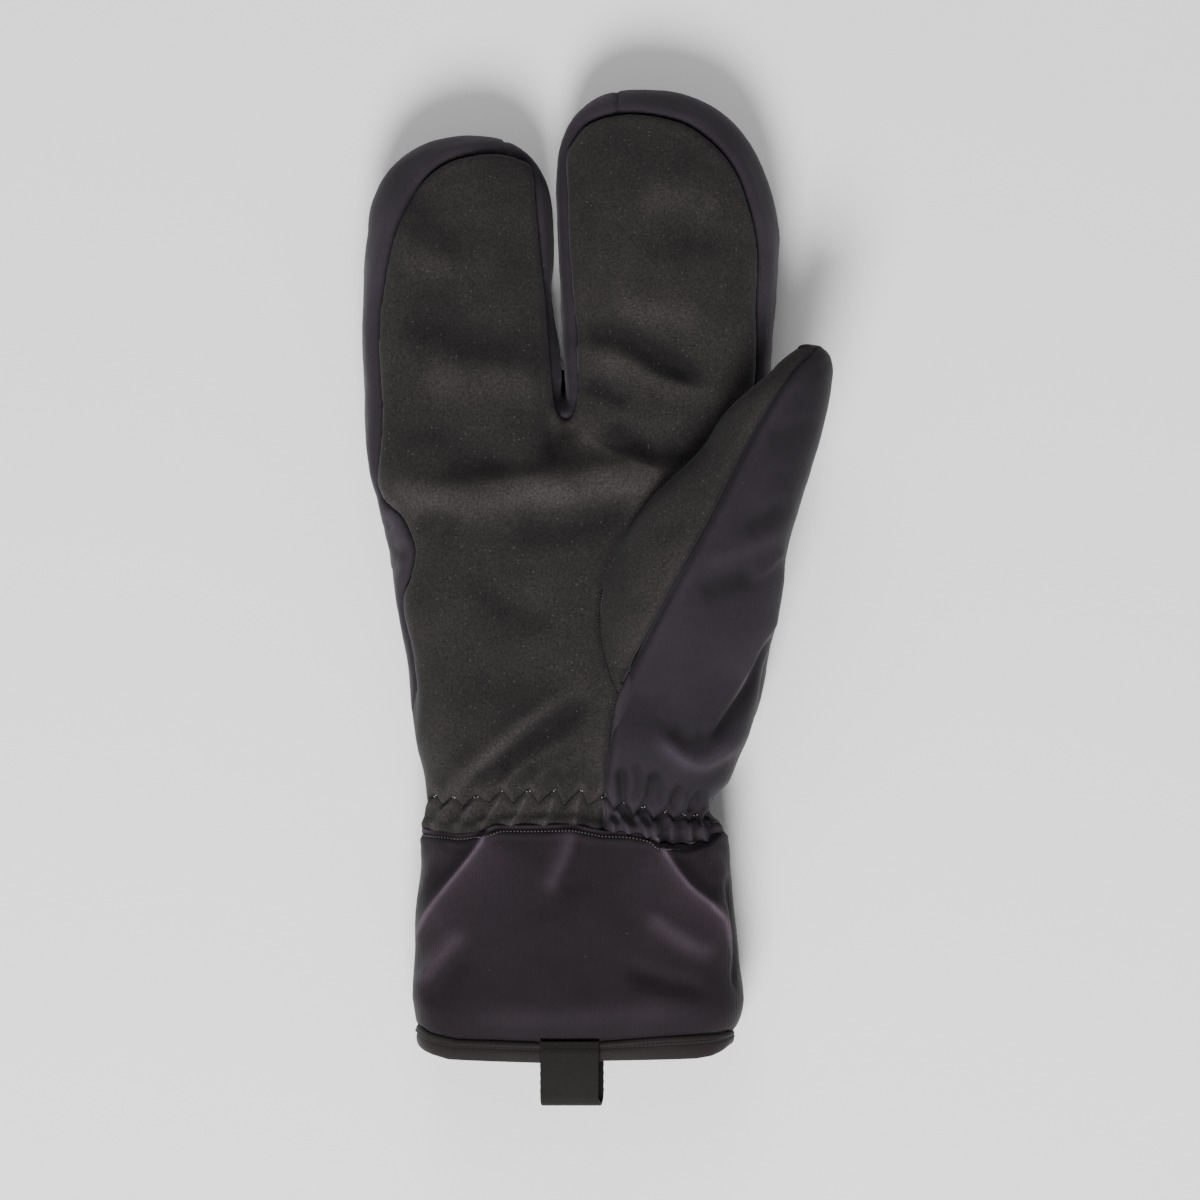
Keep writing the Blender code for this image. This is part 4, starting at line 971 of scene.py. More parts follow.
def gathers(points):
    """The cloth drawn in by the elastic: pleats below its line and puckers above it.

    The second result is the part of it that is no fold but the whole band lying lower.
    """
    flat = points[:, :2]
    line = seen(ELASTIC)
    band = (flat[:, 1] < line[:, 1].max() + BAND_ABOVE) & (flat[:, 1] > WRIST_Y - BAND_BELOW)
    rows = np.flatnonzero(band)
    move = np.zeros(len(points))
    step = np.zeros(len(points))
    if not len(rows):
        return move, step
    near = flat[rows]
    level = level_on(line, near[:, 0])
    below = step_up(level - near[:, 1], -0.5 * MM, 1.1 * MM)
    heel = step_up(near[:, 0], *(seen((pixel, 0))[0] for pixel in HEEL_EDGE))
    drop, lift, bite, depth = (
        palm + more * heel for palm, more in (GATHER_DROP, SEWN_LIFT, THREAD_BITE, GATHER_DEPTH)
    )
    away = nearest_on(near, line)[0]
    rise = np.maximum(near[:, 1] - level, 0)
    over_cuff = near[:, 1] - level_on(seen(CUFF_TOP), near[:, 0])
    sewn = step_up(over_cuff, -1.0 * MM, 0.5 * MM) * (1 - step_up(over_cuff, 0.8 * MM, 4 * MM))
    lower = below * drop * MM - sewn * lift * MM
    step[rows] = lower - below * EVEN_DROP * MM
    move[rows] = (
        -lower
        + below * depth * np.minimum(lines_height(GATHER_LINES, near), PLEAT_LIMIT)
        + (1 - below) * lines_height(PUCKER_LINES, near)
        + (1 - below) * 0.9 * MM * bell(rise - PUFF_RISE, PUFF_RISE)
        - bite * MM * bell(away, 0.7 * MM)
    )
    return move, step


SIDE_ELASTIC = 5.5 * MM  # where the elastic lies at the sides, above the wrist seam
SIDE_PLEAT = 5.2 * MM  # from one of the sides' pleats to the next
SIDE_BAND = 10 * MM  # how far up they reach
SIDE_DEPTH = 0.6 * MM


def side_gathers(points):
    """A plain gathered band for the sides, where the photograph shows only its outline."""
    y = points[:, 1] - WRIST_Y
    line = bell(y - SIDE_ELASTIC, 1.5 * MM)
    pleats = 0.5 + 0.5 * np.sin(points[:, 2] / SIDE_PLEAT * 2 * math.pi)
    band = step_up(SIDE_BAND - y, 0, SIDE_BAND / 2)
    return -SIDE_DEPTH * line - SIDE_DEPTH * band * pleats


# Where the hand is open to the thumb: from and to, as shares of HAND_LENGTH, and how far out in
# the thumb's ring
HOLLOW_LOW = 0.21
HOLLOW_HIGH = 0.46
HOLLOW_REACH = 0.7


def thumb_hollow(points):
    """Which points lie well inside the thumb, where the hand is open to it."""
    found = np.zeros(len(points), bool)
    share = np.round((points[:, 1] - WRIST_Y) / HAND_LENGTH, 3)
    for place in np.unique(share):
        if not HOLLOW_LOW < place < HOLLOW_HIGH:
            continue
        left, right, middle, half = thumb_shape(place)
        left += 2 * WALL
        right -= 2 * WALL
        half -= 1.5 * WALL
        rows = share == place
        x = (points[rows, 0] - (left + right) / 2) / ((right - left) / 2)
        z = (points[rows, 2] - middle) / half
        found[rows] = x * x + z * z < HOLLOW_REACH
    return found


HEEL_SEAM_SHARE = 0.3  # how much of a seam's depth shows beside the heel
SEAM_PAINTED_LIGHT = 0.6  # how much a seam's depth and a side's crease count for the painted shade and highlight
SIDE_PAINTED_LIGHT = 1.4
LIP_SEAM_DEPTH = 0.7 * MM
LIP_SEAM_WIDTH = 0.6 * MM


def build_hand(palm_material, shell_material):
    """The palm panel and the back shell, cut from one skin along the seams."""
    grids = hand_grids()
    surface = Surface(grids, (True, False), (across(MIDLINE), along(0.4), 0.4 * HAND_THICKNESS))
    outline = palm_outline()
    notch = np.linalg.norm(surface.points[:, :2] - seen(NOTCH_PIXEL), axis=1) < NOTCH_REACH
    surface.calm(NOTCH_ROUNDS, notch & (surface.points[:, 2] > 0.5 * SIDE_SEAM_HEIGHT))
    centres = surface.centres()
    face_up = surface.face_normals()[:, 2] > 0
    palm = inside(centres[:, :2], outline) & (centres[:, 2] > SIDE_SEAM_HEIGHT) & face_up
    seam_points = snap_to_line(surface, palm, outline)
    even_cut(surface, palm, seam_points)
    normals = surface.normals()
    up = step_up(normals[:, 2], 0.0, 0.45)
    high = surface.points[:, 2] > SIDE_SEAM_HEIGHT * 0.7
    heel = inside(surface.points[:, :2], heel_area()) & high
    flat = surface.points[:, :2]
    palm_side = np.where(high, up, 0.0)
    seams = seam_depth(surface.points, outline) * np.where(heel, HEEL_SEAM_SHARE, 1.0)
    seams[seam_points] -= SEAM_BITE * np.where(heel[seam_points], 0, 1)
    pleats, step = gathers(surface.points)
    folds = lines_height(PALM_LINES, flat) + pleats
    # Relief for the colour: painted shade in valleys, seams and the lowered band, painted highlight on
    # crests
    relief = palm_side * (folds + step + SEAM_PAINTED_LIGHT * seams)
    move = palm_side * (seams + folds)
    outer = np.where(high, step_up(normals[:, 2], -0.5, 0.1), 0.0)
    creases = outer * lines_height(SIDE_LINES, flat)
    relief += SIDE_PAINTED_LIGHT * creases
    move += creases
    move += surface.off_floor() * (1 - palm_side) * side_gathers(surface.points)
    move += surface.off_floor() * loose_cloth(surface.points, 5)
    for line in seen(LIP_SEAMS):
        move += outer * -LIP_SEAM_DEPTH * bell(nearest_on(flat, line)[0], LIP_SEAM_WIDTH)
    under = step_up(nearest_on(flat, outline)[0], 1 * MM, 6 * MM)
    under *= step_up(surface.points[:, 2], SIDE_SEAM_HEIGHT, SIDE_SEAM_HEIGHT + 8 * MM)
    move -= np.where(heel, HEEL_LIFT + HEEL_SINK * under, 0)
    surface.shift(move)
    surface.rest_on_floor()
    covered = thumb_hollow(surface.centres())
    relief /= FULL_RELIEF
    palm_piece = surface.piece("palm_panel_cloth", palm & ~covered, palm_material, WALL, relief)
    back_piece = surface.piece("back_shell_cloth", ~palm & ~covered, shell_material, WALL, relief)
    return palm_piece, back_piece, surface.tree()


def ring_points(angle, y, shape):
    """Points round the thumb at angles from its left edge over the palm side."""
    left, right, middle, half = shape
    c = np.cos(angle)
    s = np.sin(angle)
    x = (left + right) / 2 - (right - left) / 2 * np.copysign(np.abs(c) ** THUMB_ROUNDNESS, c)
    z = middle + half * np.copysign(np.abs(s) ** THUMB_ROUNDNESS, s)
    return np.column_stack([x, np.full(len(x), y), z])


def thumb_shape(place):
    """Left and right edges, middle height and half thickness of the thumb at a place."""
    top = THUMB[-1].along
    left, right = edges_at(THUMB, place)
    middle = THUMB_THICKNESS * smooth(THUMB, "middle", place)
    half = THUMB_THICKNESS * smooth(THUMB, "half", place)
    if place > top:
        s = (place - top) / (THUMB_TIP.along - top)
        narrow = math.sqrt(1 - s * s)
        centre = (left + right) / 2 + (across(THUMB_TIP.left) - (left + right) / 2) * s
        left, right = centre - (right - left) / 2 * narrow, centre + (right - left) / 2 * narrow
        half *= narrow
    return left, right, middle, half


HEEL_FLAT_SHARE = 0.66  # the share of the heel's columns on its palm side
HEEL_TURN = 0.55  # how much of the side the heel covers


def heel_arc(place, seam_x, y, count):
    """The heel's surface from its seam over the palm side to half-way down the side."""
    section = section_of(BODY, place)
    edge = palm_edge(section, 1)
    flat = int(count * HEEL_FLAT_SHARE)
    x = np.linspace(seam_x, edge, flat + 1)
    z = section.top(x)
    side_x, side_z = section.turn(np.linspace(0, HEEL_TURN, count - flat + 1)[1:], True)
    return np.column_stack([np.concatenate([x, side_x]), np.full(count + 1, y),
                            np.concatenate([z, side_z])])  # fmt: skip


# Where the thumb's shape changes, as shares of HAND_LENGTH
HEEL_TO_THUMB = (0.11, 0.27)  # the heel's arc turns into the thumb's ring
RING_CLOSES = (0.24, 0.38)  # the outer panel comes round to the seam from the back
BASE_TOP = 0.43  # from here down the palm panel comes to lie flush with the palm
BASE_REACH = 0.11
TIP_ROWS = (0.3, 0.55, 0.75, 0.88, 0.96)  # shares of the way from the last section to the tip
BASE_CURVE = 2.2
UNDER_ACROSS = 3 * MM  # how far the palm panel's edge turns under the palm's
UNDER_DOWN = 5 * MM
LEAST_PANEL = 0.8 * MM  # the palm panel ends where it would be narrower


def thumb_grids():
    """The outer panel, from inside the cuff to the tip, and the thumb's palm panel."""
    seam = smooth_line(THUMB_SEAM_TOP + THUMB_SEAM + HEEL_SEAM, 8)[::-1]
    outer = []
    inner = []
    top = THUMB[-1].along
    reach = THUMB_TIP.along - top
    fine = int((GATHER_TOP - UNDER_CUFF) * HAND_LENGTH / FINE_CELL)
    coarse = int((top - GATHER_TOP) * HAND_LENGTH / CELL)
    places = [*np.linspace(UNDER_CUFF, GATHER_TOP, fine + 1)[:-1],
              *np.linspace(GATHER_TOP, top, coarse + 1),
              *(top + reach * s for s in TIP_ROWS)]  # fmt: skip
    u = np.linspace(0, 1, THUMB_OUTER_COLUMNS + 1)
    v = np.linspace(0, 1, THUMB_INNER_COLUMNS + 1)
    for place in places:
        y = along(place)
        seam_x = float(np.interp(y, seam[:, 1], seam[:, 0]))
        shape = thumb_shape(place)
        left, right = shape[:2]
        cosine = float(np.clip(1 - 2 * (seam_x - left) / (right - left), -0.97, 0.985))
        start = math.acos(cosine)
        end = 1.25 * math.pi + (0.75 * math.pi - start) * float(step_up(place, *RING_CLOSES))
        arc = ring_points(start + (end - start) * u, y, shape)
        blend = float(step_up(place, *HEEL_TO_THUMB))
        if blend < 1:
            arc = heel_arc(place, seam_x, y, THUMB_OUTER_COLUMNS) * (1 - blend) + arc * blend
            arc[:, 2] += HEEL_LIFT * 0.3 * (1 - blend)
        outer.append(arc)
        if place < THUMB_SEAM[-1][1] or arc[0, 0] - left < LEAST_PANEL:
            continue
        ring = ring_points(start - 2 * start * v, y, shape)
        lifted = float(step_up(BASE_TOP - place, 0, BASE_REACH))
        if lifted > 0:
            section = section_of(BODY, place)
            half = THUMB_INNER_COLUMNS // 2
            x = np.linspace(arc[0, 0], left, half + 1)
            t = np.clip((x - left) / max(arc[0, 0] - left, 1e-6), 0, 1)
            rise = arc[0, 2] - section.top(arc[0, 0]) + BASE_TUCK
            z = section.top(x) - BASE_TUCK + rise * (1 - (1 - t) ** BASE_CURVE)
            under = np.linspace(0, 1, THUMB_INNER_COLUMNS - half + 1)[1:]
            tuck_x = left + UNDER_ACROSS * under
            tuck_z = z[-1] - UNDER_DOWN * under
            flush = np.column_stack([np.concatenate([x, tuck_x]), np.full(len(v), y),
                                     np.concatenate([z, tuck_z])])  # fmt: skip
            ring = ring * (1 - lifted) + flush * lifted
        ring[0] = arc[0]
        inner.append(ring)
    tip = (across(THUMB_TIP.left), along(THUMB_TIP.along), THUMB_THICKNESS * THUMB_TIP.middle)
    outer.append(np.repeat([tip], len(u), axis=0))
    inner.append(np.repeat([tip], len(v), axis=0))
    return np.array(outer), np.array(inner)


def buried(points):
    """Which points of the thumb lie deep inside the hand, where they don't show."""
    found = np.zeros(len(points), bool)
    share = np.round((points[:, 1] - WRIST_Y) / HAND_LENGTH, 3)
    for place in np.unique(share):
        if not 0.0 <= place < 0.6:
            continue
        section = section_of(BODY, place)
        rows = share == place
        x = points[rows, 0]
        deep = section.top(np.clip(x, section.left, section.right)) - points[rows, 2] > 3 * WALL
        within = (x > section.left + 3 * WALL) & (x < section.right - 3 * WALL)
        found[rows] = deep & within
    return found


def build_thumb(palm_material, shell_material):
    """The thumb's outer panel and its palm panel, and a tree of each to cast rays at."""
    grid_outer, grid_inner = thumb_grids()
    pieces = []
    trees = []
    seam = smooth_line(THUMB_SEAM_TOP + THUMB_SEAM + HEEL_SEAM, 8)
    axis = np.concatenate([grid_outer.reshape(-1, 3), grid_inner.reshape(-1, 3)]).mean(axis=0)
    axis[2] = 0.7 * THUMB_THICKNESS
    for name, grid, material, lines in (
        ("thumb_outer_panel_cloth", grid_outer, shell_material, THUMB_LINES),
        ("thumb_palm_panel_cloth", grid_inner, palm_material, INNER_THUMB_LINES),
    ):
        surface = Surface([grid], (False,), axis)
        normals = surface.normals()
        up = np.where(surface.points[:, 2] > SIDE_SEAM_HEIGHT, step_up(normals[:, 2], -0.1, 0.4), 0)
        folds = lines_height(lines, surface.points[:, :2])
        pleats, step = gathers(surface.points)
        if grid is grid_outer:
            folds += pleats
        else:
            step *= 0
        seams = seam_depth(surface.points, seam, THUMB_GROOVE)
        move = up * (seams + folds)
        # Relief for the colour: painted shade in valleys and seams, painted highlight on crests
        relief = up * (folds + step + SEAM_PAINTED_LIGHT * seams) / FULL_RELIEF
        if grid is grid_outer:
            move += surface.off_floor() * (1 - up) * side_gathers(surface.points)
        move += loose_cloth(surface.points, 15, 0.8)
        surface.shift(move)
        keep = ~buried(surface.centres())
        pieces.append(surface.piece(name, keep, material, WALL, relief))
        trees.append(surface.tree())
    return pieces, trees


def cuff_rings(places):
    """The cuff's outer surface, ring by ring from its top edge to the hem."""
    rings = []
    for place in places:
        left, right = edges_at(CUFF, place)
        height = CUFF_THICKNESS * smooth(CUFF, "height", place)
        side = SIDE_HEIGHT * height
        roll = min(EDGE_ROLL, (right - left) / 2)
        turn = np.linspace(0, math.pi, CUFF_COLUMNS + 1)[:-1]
        t = -np.cos(turn) * (1 - 0.15 * np.sin(turn) ** 2)
        ring = []
        for back in (False, True):
            x = (left + right) / 2 + (right - left) / 2 * t * (-1 if back else 1)
            near = np.minimum(x - left, right - x)
            rise = rolled(near, roll)
            if back:
                z = np.maximum(0.0, side - side * BOTTOM_PRESS * rise)
            else:
                z = side + (height - side) * rise * (1 - CROWN * t * t)
            top = level_on(seen(CUFF_TOP), x)
            foot = level_on(seen(HEM_TOP), x)
            ring.append(np.column_stack([x, top + (foot - top) * place, z]))
        ring = np.concatenate(ring)
        rings.append(np.concatenate([ring, ring[:1]]))
    return np.array(rings)


def out_from(middle, ring):
    """The direction straight out from the glove's length, at each point of a ring."""
    run = ring - middle
    run[:, 1] = 0
    return run / np.linalg.norm(run, axis=1, keepdims=True)


FLANGE_ROWS = (1.0, 0.75, 0.5, 0.3, 0.15, 0.06)  # shares of FLANGE
FLANGE_DIP = 1.2 * MM  # how much lower the flange's inner end lies
CUFF_ROWS = (12, 84)  # rows in the fine part at the top edge, and in the rest
CUFF_FINE = 0.08  # where the fine part ends, as a share of the cuff's length
CUFF_MIDDLE = (-0.05, 0.45)  # across, and as a share of its thickness


def turned_in(ring, middle):
    """Rings of the seam allowance, from deep inside up to the cuff's top edge."""
    run = out_from(middle, ring)
    return np.array([ring - run * FLANGE * share - (0, FLANGE_DIP * share, 0)
                     for share in FLANGE_ROWS])  # fmt: skip


# The cuff's rolled edge, from its stitch line down: rise, distance from the edge and width, in mm
EDGE_PROFILE = ((-0.5, 0, 0.3), (0.3, 0.85, 0.5), (-0.6, 1.75, 0.45), (0.25, 3.2, 0.9))
EDGE_HIGHLIGHT = (1.15 * MM, 1.55 * MM)  # where the rolled edge's painted highlight ends
CUFF_STITCH_DOWN = 1.75 * MM  # how far below the edge its stitches run
# Strength of the painted highlight and wear on the first two crests, and of the folds' painted shade
# and highlight
CREST_HIGHLIGHT_AND_WEAR = 0.65
FOLD_PAINTED_LIGHT = 0.3


def build_cuff(material):
    """The cuff, with its rolled top edge, its folds and the seam allowance inside."""
    fine, coarse = CUFF_ROWS
    places = np.concatenate([np.linspace(0, CUFF_FINE, fine)[:-1],
                             np.linspace(CUFF_FINE, 1, coarse)])  # fmt: skip
    rings = cuff_rings(places)
    middle = (across(CUFF_MIDDLE[0]), CUFF_LOW.y / 2 + WRIST_Y / 2, CUFF_MIDDLE[1] * CUFF_THICKNESS)
    rings = np.concatenate([turned_in(rings[0], middle), rings])
    surface = Surface([rings], (False,), middle)
    normals = surface.normals()
    outside = step_up(-normals[:, 1], -0.75, -0.45)
    flat = surface.points[:, :2]
    down = level_on(seen(CUFF_TOP), flat[:, 0]) - flat[:, 1]
    rest = flat[:, 1] - level_on(seen(HEM_TOP), flat[:, 0])
    up = step_up(normals[:, 2], 0.0, 0.4)
    under_ribbon = step_up(flat[:, 0], LOOP_LOW.x - 1 * MM, LOOP_LOW.x)
    under_ribbon *= 1 - step_up(flat[:, 0], LOOP_HIGH.x - LOOP_SLIP, LOOP_HIGH.x)
    edge = (
        up * 0.7 * MM * bell(down, 9 * MM)
        + up * 1.3 * MM * bell(down, 2.2 * MM)
        - (1 - up) * 0.9 * MM * bell(down, 3.5 * MM)
    )
    for rise, place, width in EDGE_PROFILE:
        edge += rise * MM * bell(down - place * MM, width * MM)
    edge -= (0.4 + 0.8 * up * (1 - under_ribbon)) * MM * bell(rest, 0.8 * MM)
    folds = up * lines_height(CUFF_LINES, flat)
    crests = up * lines_height(CUFF_CRESTS, flat)
    # Painted highlight on the rolled top edge, and painted shade in its stitch groove
    roll = 1.0 - step_up(down, *EDGE_HIGHLIGHT)
    roll -= 0.45 * bell(down - CUFF_STITCH_DOWN, 0.3 * MM)
    # Painted highlight, with some wear, along the first two crests
    painted_light_and_wear = np.zeros(len(flat))
    for line in CUFF_CRESTS[:2]:
        painted_light_and_wear += bell(nearest_on(flat, seen(line.points))[0], 0.6 * MM)
    # Relief for the colour: painted shade in the valleys and painted highlight on the crests
    relief = (FOLD_PAINTED_LIGHT * folds + FOLD_PAINTED_LIGHT * crests) / FULL_RELIEF + CREST_HIGHLIGHT_AND_WEAR * up * painted_light_and_wear + roll
    relief = outside * relief
    move = folds + crests + surface.off_floor() * (edge + loose_cloth(surface.points, 25, 0.7))
    surface.shift(outside * move)
    surface.rest_on_floor()
    everything = np.ones(len(surface.faces), bool)
    piece = surface.piece("cuff_cloth", everything, material, CUFF_WALL, relief)
    return piece, surface.tree()


# The hem band's profile: how far down, as a share of its height, and how far out, in mm
HEM_PROFILE = (
    (-0.06, -2.6), (-0.06, -1.2), (-0.02, -0.5), (0.03, 0.15), (0.10, 0.5), (0.17, 0.62),
    (0.24, 0.45), (0.29, 0.0), (0.33, -0.15), (0.37, 0.05), (0.45, 0.35), (0.58, 0.42),
    (0.72, 0.2), (0.84, -0.25), (0.93, -0.8), (0.99, -1.5), (1.0, -2.2), (0.94, -2.7),
    (0.5, -2.9),
)  # fmt: skip


HEM_MIDDLE = 0.485  # as a share of the cuff's thickness
HEM_WAVES = ((0.12, 0.21), (0.1, 0.083))  # height, and radians from one column to the next
HEM_INSIDE = -1.8  # profile points farther in than this are on the band's inner side
HEM_WALL = 2.4 * MM  # how far above the floor the inner side lies


def build_hem(material):
    """The folded binding round the cuff's end, with its stitched roll."""
    base = cuff_rings([1.0])[0]
    middle = np.array([across((CUFF[-1].left + CUFF[-1].right) / 2), 0.0,
                       CUFF_THICKNESS * HEM_MIDDLE])  # fmt: skip
    run = out_from(middle, base)
    top = level_on(seen(HEM_TOP), base[:, 0])
    foot = level_on(seen(HEM_FOOT), base[:, 0])
    column = np.arange(len(base))
    wave = 1 + sum(rise * np.sin(column * rate) for rise, rate in HEM_WAVES)
    wave[-1] = wave[0]
    rings = []
    for down, out in HEM_PROFILE:
        facing = 0.5 + 0.5 * np.abs(run[:, 2:])
        ring = base + run * (out * MM * (wave[:, None] * facing if out > 0 else facing))
        ring[:, 1] = top + (foot - top) * down
        ring[:, 2] = np.maximum(ring[:, 2], 0.0 if out > HEM_INSIDE else HEM_WALL)
        rings.append(ring)
    rings.append(rings[0])
    surface = Surface([np.array(rings)], (False,), middle + (0, HEM_LOW.y, 0))
    obj = add_object("hem_band_cloth",
                     new_mesh("hem_band_cloth", surface.points, surface.faces, material))
    outward(obj)
    obj.data.shade_smooth()
    return obj, surface.tree()


def outward(obj):
    """Turns the faces of a closed piece outward."""
    work = bmesh.new()
    work.from_mesh(obj.data)
    bmesh.ops.recalc_face_normals(work, faces=work.faces)
    if work.calc_volume(signed=True) < 0:
        bmesh.ops.reverse_faces(work, faces=work.faces)
    work.to_mesh(obj.data)
    work.free()


# The ribbon's shape, where no unit is given as shares of half its height
RIBBON_ROWS = 40
RIBBON_TURN_ROWS = 16
RIBBON_COLUMNS = 45
FRONT_BOW = 0.10
BACK_BOW = 0.05
RIBBON_TAPER = 0.12  # how much closer together the layers are at the fold
SEWN_DIP = 0.2  # how much lower the front layer starts, and over which share of its length
TURN_HEIGHT = 0.88
TURN_REACH = 0.8
CROSS_BOW = 0.25 * MM
EDGE_RIPPLE = 0.15 * MM
RIPPLE_RATE = 2600  # in radians a metre
RIPPLE_SHARE = 0.3
SLIP_FROM = (0.42, 0.6)  # where along the ribbon its back layer comes to stand out


def build_loop(material):
    """The ribbon, folded once, with its two layers a little apart."""
    turn = (LOOP_HIGH.z - LOOP_LOW.z) / 2
    middle = (LOOP_HIGH.z + LOOP_LOW.z) / 2
    length = LOOP_HIGH.y - LOOP_LOW.y - turn
    path = []
    for i in range(RIBBON_ROWS):
        t = i / RIBBON_ROWS
        dip = SEWN_DIP * max(0.0, 1 - t / SEWN_DIP)
        up = 1.0 + FRONT_BOW * math.sin(math.pi * t) - RIBBON_TAPER * t - dip
        path.append((LOOP_HIGH.y - length * t, up, 0.0))
    for i in range(RIBBON_TURN_ROWS + 1):
        angle = math.pi * i / RIBBON_TURN_ROWS
        path.append((LOOP_LOW.y + turn, TURN_HEIGHT * math.cos(angle), math.sin(angle)))
    for i in range(1, RIBBON_ROWS + 1):
        t = 1 - i / RIBBON_ROWS
        up = -1.0 - BACK_BOW * math.sin(math.pi * t) + RIBBON_TAPER * t
        path.append((LOOP_LOW.y + turn + length * i / RIBBON_ROWS, up, 0.0))
    x = np.linspace(LOOP_LOW.x, LOOP_HIGH.x - LOOP_SLIP, RIBBON_COLUMNS)
    rows = []
    for k, (y, up, out) in enumerate(path):
        back = k / (len(path) - 1)
        slip = LOOP_SLIP * float(step_up(back, *SLIP_FROM))
        bow = CROSS_BOW * np.sin(math.pi * (x - x[0]) / (x[-1] - x[0])) * (1 - 2 * back)
        edge = EDGE_RIPPLE * np.sin(y * RIPPLE_RATE)
        rows.append(np.column_stack([x + slip + edge * np.linspace(-1, 1, len(x)) * RIPPLE_SHARE,
                                     np.full(len(x), y - out * turn * TURN_REACH),
                                     middle + up * (turn - EDGE_RIPPLE) + bow]))  # fmt: skip
    surface = Surface([np.array(rows)], (False,), (x.mean(), LOOP_LOW.y + length / 2, middle))
    piece = surface.piece("pull_loop_ribbon", np.ones(len(surface.faces), bool), material, RIBBON)
    return piece, surface.tree()


# Stitches: the pitch, the lift off the cloth, width and height in mm, and the share of the pitch
# that the thread fills
Stitch = namedtuple("Stitch", "pitch lift width height fill")
CUFF_STITCH = Stitch(1.0, 0.16, 0.5, 0.28, 0.58)
HEM_STITCH = Stitch(1.3, 0.1, 0.38, 0.22, 0.72)
ELASTIC_STITCH = Stitch(0.8, 0.15, 0.4, 0.24, 0.72)
ELASTIC_FLECK = Stitch(0, 0.22, 0.36, 0.24, 0.45)
THUMB_STITCH = Stitch(0.9, 0.14, 0.5, 0.16, 1.0)
LOOP_STITCH = Stitch(1.2, 0.08, 0.36, 0.2, 0.72)
HEM_STITCH_DOWN = 1.5 * MM  # how far below the hem band's top its stitches run
STITCH_SIDES = 8
# Pale flecks at each peak of the elastic, from the peak, in mm
FLECK_PLACES = ((-0.7, -0.9), (-0.3, -0.1), (0.3, 0.1), (0.8, -0.7))
# A stitch's thickness: places along it, from its middle, and the share of its full size there
STITCH_PROFILE = ((-0.5, 0.25), (-0.36, 0.8), (-0.12, 1.0), (0.12, 1.0), (0.36, 0.8), (0.5, 0.25))


def thread(name, places, normals, stitch, material, pick=None):
    """A row of separate stitches along places on a surface, as one mesh."""
    width = stitch.width * MM
    height = stitch.height * MM
    work = bmesh.new()
    for k in range(len(places) - 1):
        if pick is not None and not pick(k):
            continue
        a = Vector(places[k])
        b = Vector(places[k + 1])
        run = (b - a) * stitch.fill
        normal = Vector(normals[k]).normalized()
        side = run.cross(normal)
        if side.length < 1e-9:
            continue
        side.normalize()
        middle = (a + b) / 2
        rings = []
        for s, size in STITCH_PROFILE:
            sunk = 0.35 * height * (1 - size)
            ring = []
            for i in range(STITCH_SIDES):
                angle = 2 * math.pi * i / STITCH_SIDES
                ring.append(work.verts.new(middle + run * s
                                           + side * (width / 2 * size * math.cos(angle))
                                           + normal * (height * size * math.sin(angle) - sunk)))
            rings.append(ring)
        for low, high in zip(rings, rings[1:]):
            for i in range(STITCH_SIDES):
                j = (i + 1) % STITCH_SIDES
                work.faces.new((low[i], low[j], high[j], high[i]))
        work.faces.new(rings[0][::-1])
        work.faces.new(rings[-1])
    for v in work.verts:
        v.co.z = max(v.co.z, 0.0)
    bmesh.ops.recalc_face_normals(work, faces=work.faces)
    mesh = bpy.data.meshes.new(name)
    work.to_mesh(mesh)
    work.free()
    mesh.materials.append(material)
    mesh.shade_smooth()
    return add_object(name, mesh)


def spaced(line, pitch):
    """Points at even steps along a polyline."""
    lengths = np.linalg.norm(np.diff(line, axis=0), axis=1)
    total = np.concatenate([[0], np.cumsum(lengths)])
    count = max(2, int(round(total[-1] / pitch)))
    where = np.linspace(0, total[-1], count + 1)
    return np.column_stack([np.interp(where, total, line[:, k]) for k in range(line.shape[1])])


FAR = 0.2  # well outside the glove, where rays toward it start
ROUND_STEPS = 360  # rays round the cuff
CUFF_HALF = 0.36  # half the cuff's width, as a share of HAND_WIDTH


def dropped(trees, flat, lift):
    """Places and normals on the topmost surface right below points (x, y)."""
    places = []
    normals = []
    for x, y in flat:
        hits = [tree.ray_cast(Vector((x, y, FAR)), Vector((0, 0, -1))) for tree in trees]
        hits = [hit for hit in hits if hit[0] is not None]
        if not hits:
            continue
        place, normal, _, _ = max(hits, key=lambda hit: hit[0].z)
        places.append(place + normal * lift)
        normals.append(normal)
    return places, normals


def around(tree, line, down, lift):
    """Places and normals round the cuff, at a distance below a line that runs across it."""
    middle_x = across(CUFF_MIDDLE[0])
    places = []
    normals = []
    for k in range(ROUND_STEPS + 1):
        angle = 2 * math.pi * k / ROUND_STEPS
        direction = Vector((math.cos(angle), 0, math.sin(angle)))
        x_guess = middle_x + CUFF_HALF * HAND_WIDTH * math.cos(angle)
        for _ in range(3):
            y = float(level_on(line, x_guess)) - down
            start = Vector((middle_x, y, CUFF_MIDDLE[1] * CUFF_THICKNESS)) + direction * FAR
            place, normal, _, _ = tree.ray_cast(start, -direction)
            if place is None:
                break
            x_guess = place.x
        if place is not None:
            places.append(place + normal * lift)
            normals.append(normal)
    return places, normals


def even(places, normals, pitch):
    """Even steps along places, each with the normal of the nearest of them."""
    line = np.array([tuple(p) for p in places])
    stepped = spaced(line, pitch)
    found = []
    for point in stepped:
        k = int(np.argmin(((line - point) ** 2).sum(axis=1)))
        found.append(normals[k])
    return stepped, found


def sewn_round(name, tree, line, down, stitch, material):
    """Stitches round the cuff, below a line seen in the photograph."""
    places, normals = around(tree, seen(line), down, stitch.lift * MM)
    return thread(name, *even(places, normals, stitch.pitch * MM), stitch, material)


def sewn_along(name, trees, line, stitch, material):
    """Stitches along a line seen in the photograph, on the topmost surface under it."""
    places = spaced(seen(line), stitch.pitch * MM)
    return thread(name, *dropped(trees, places, stitch.lift * MM), stitch, material)


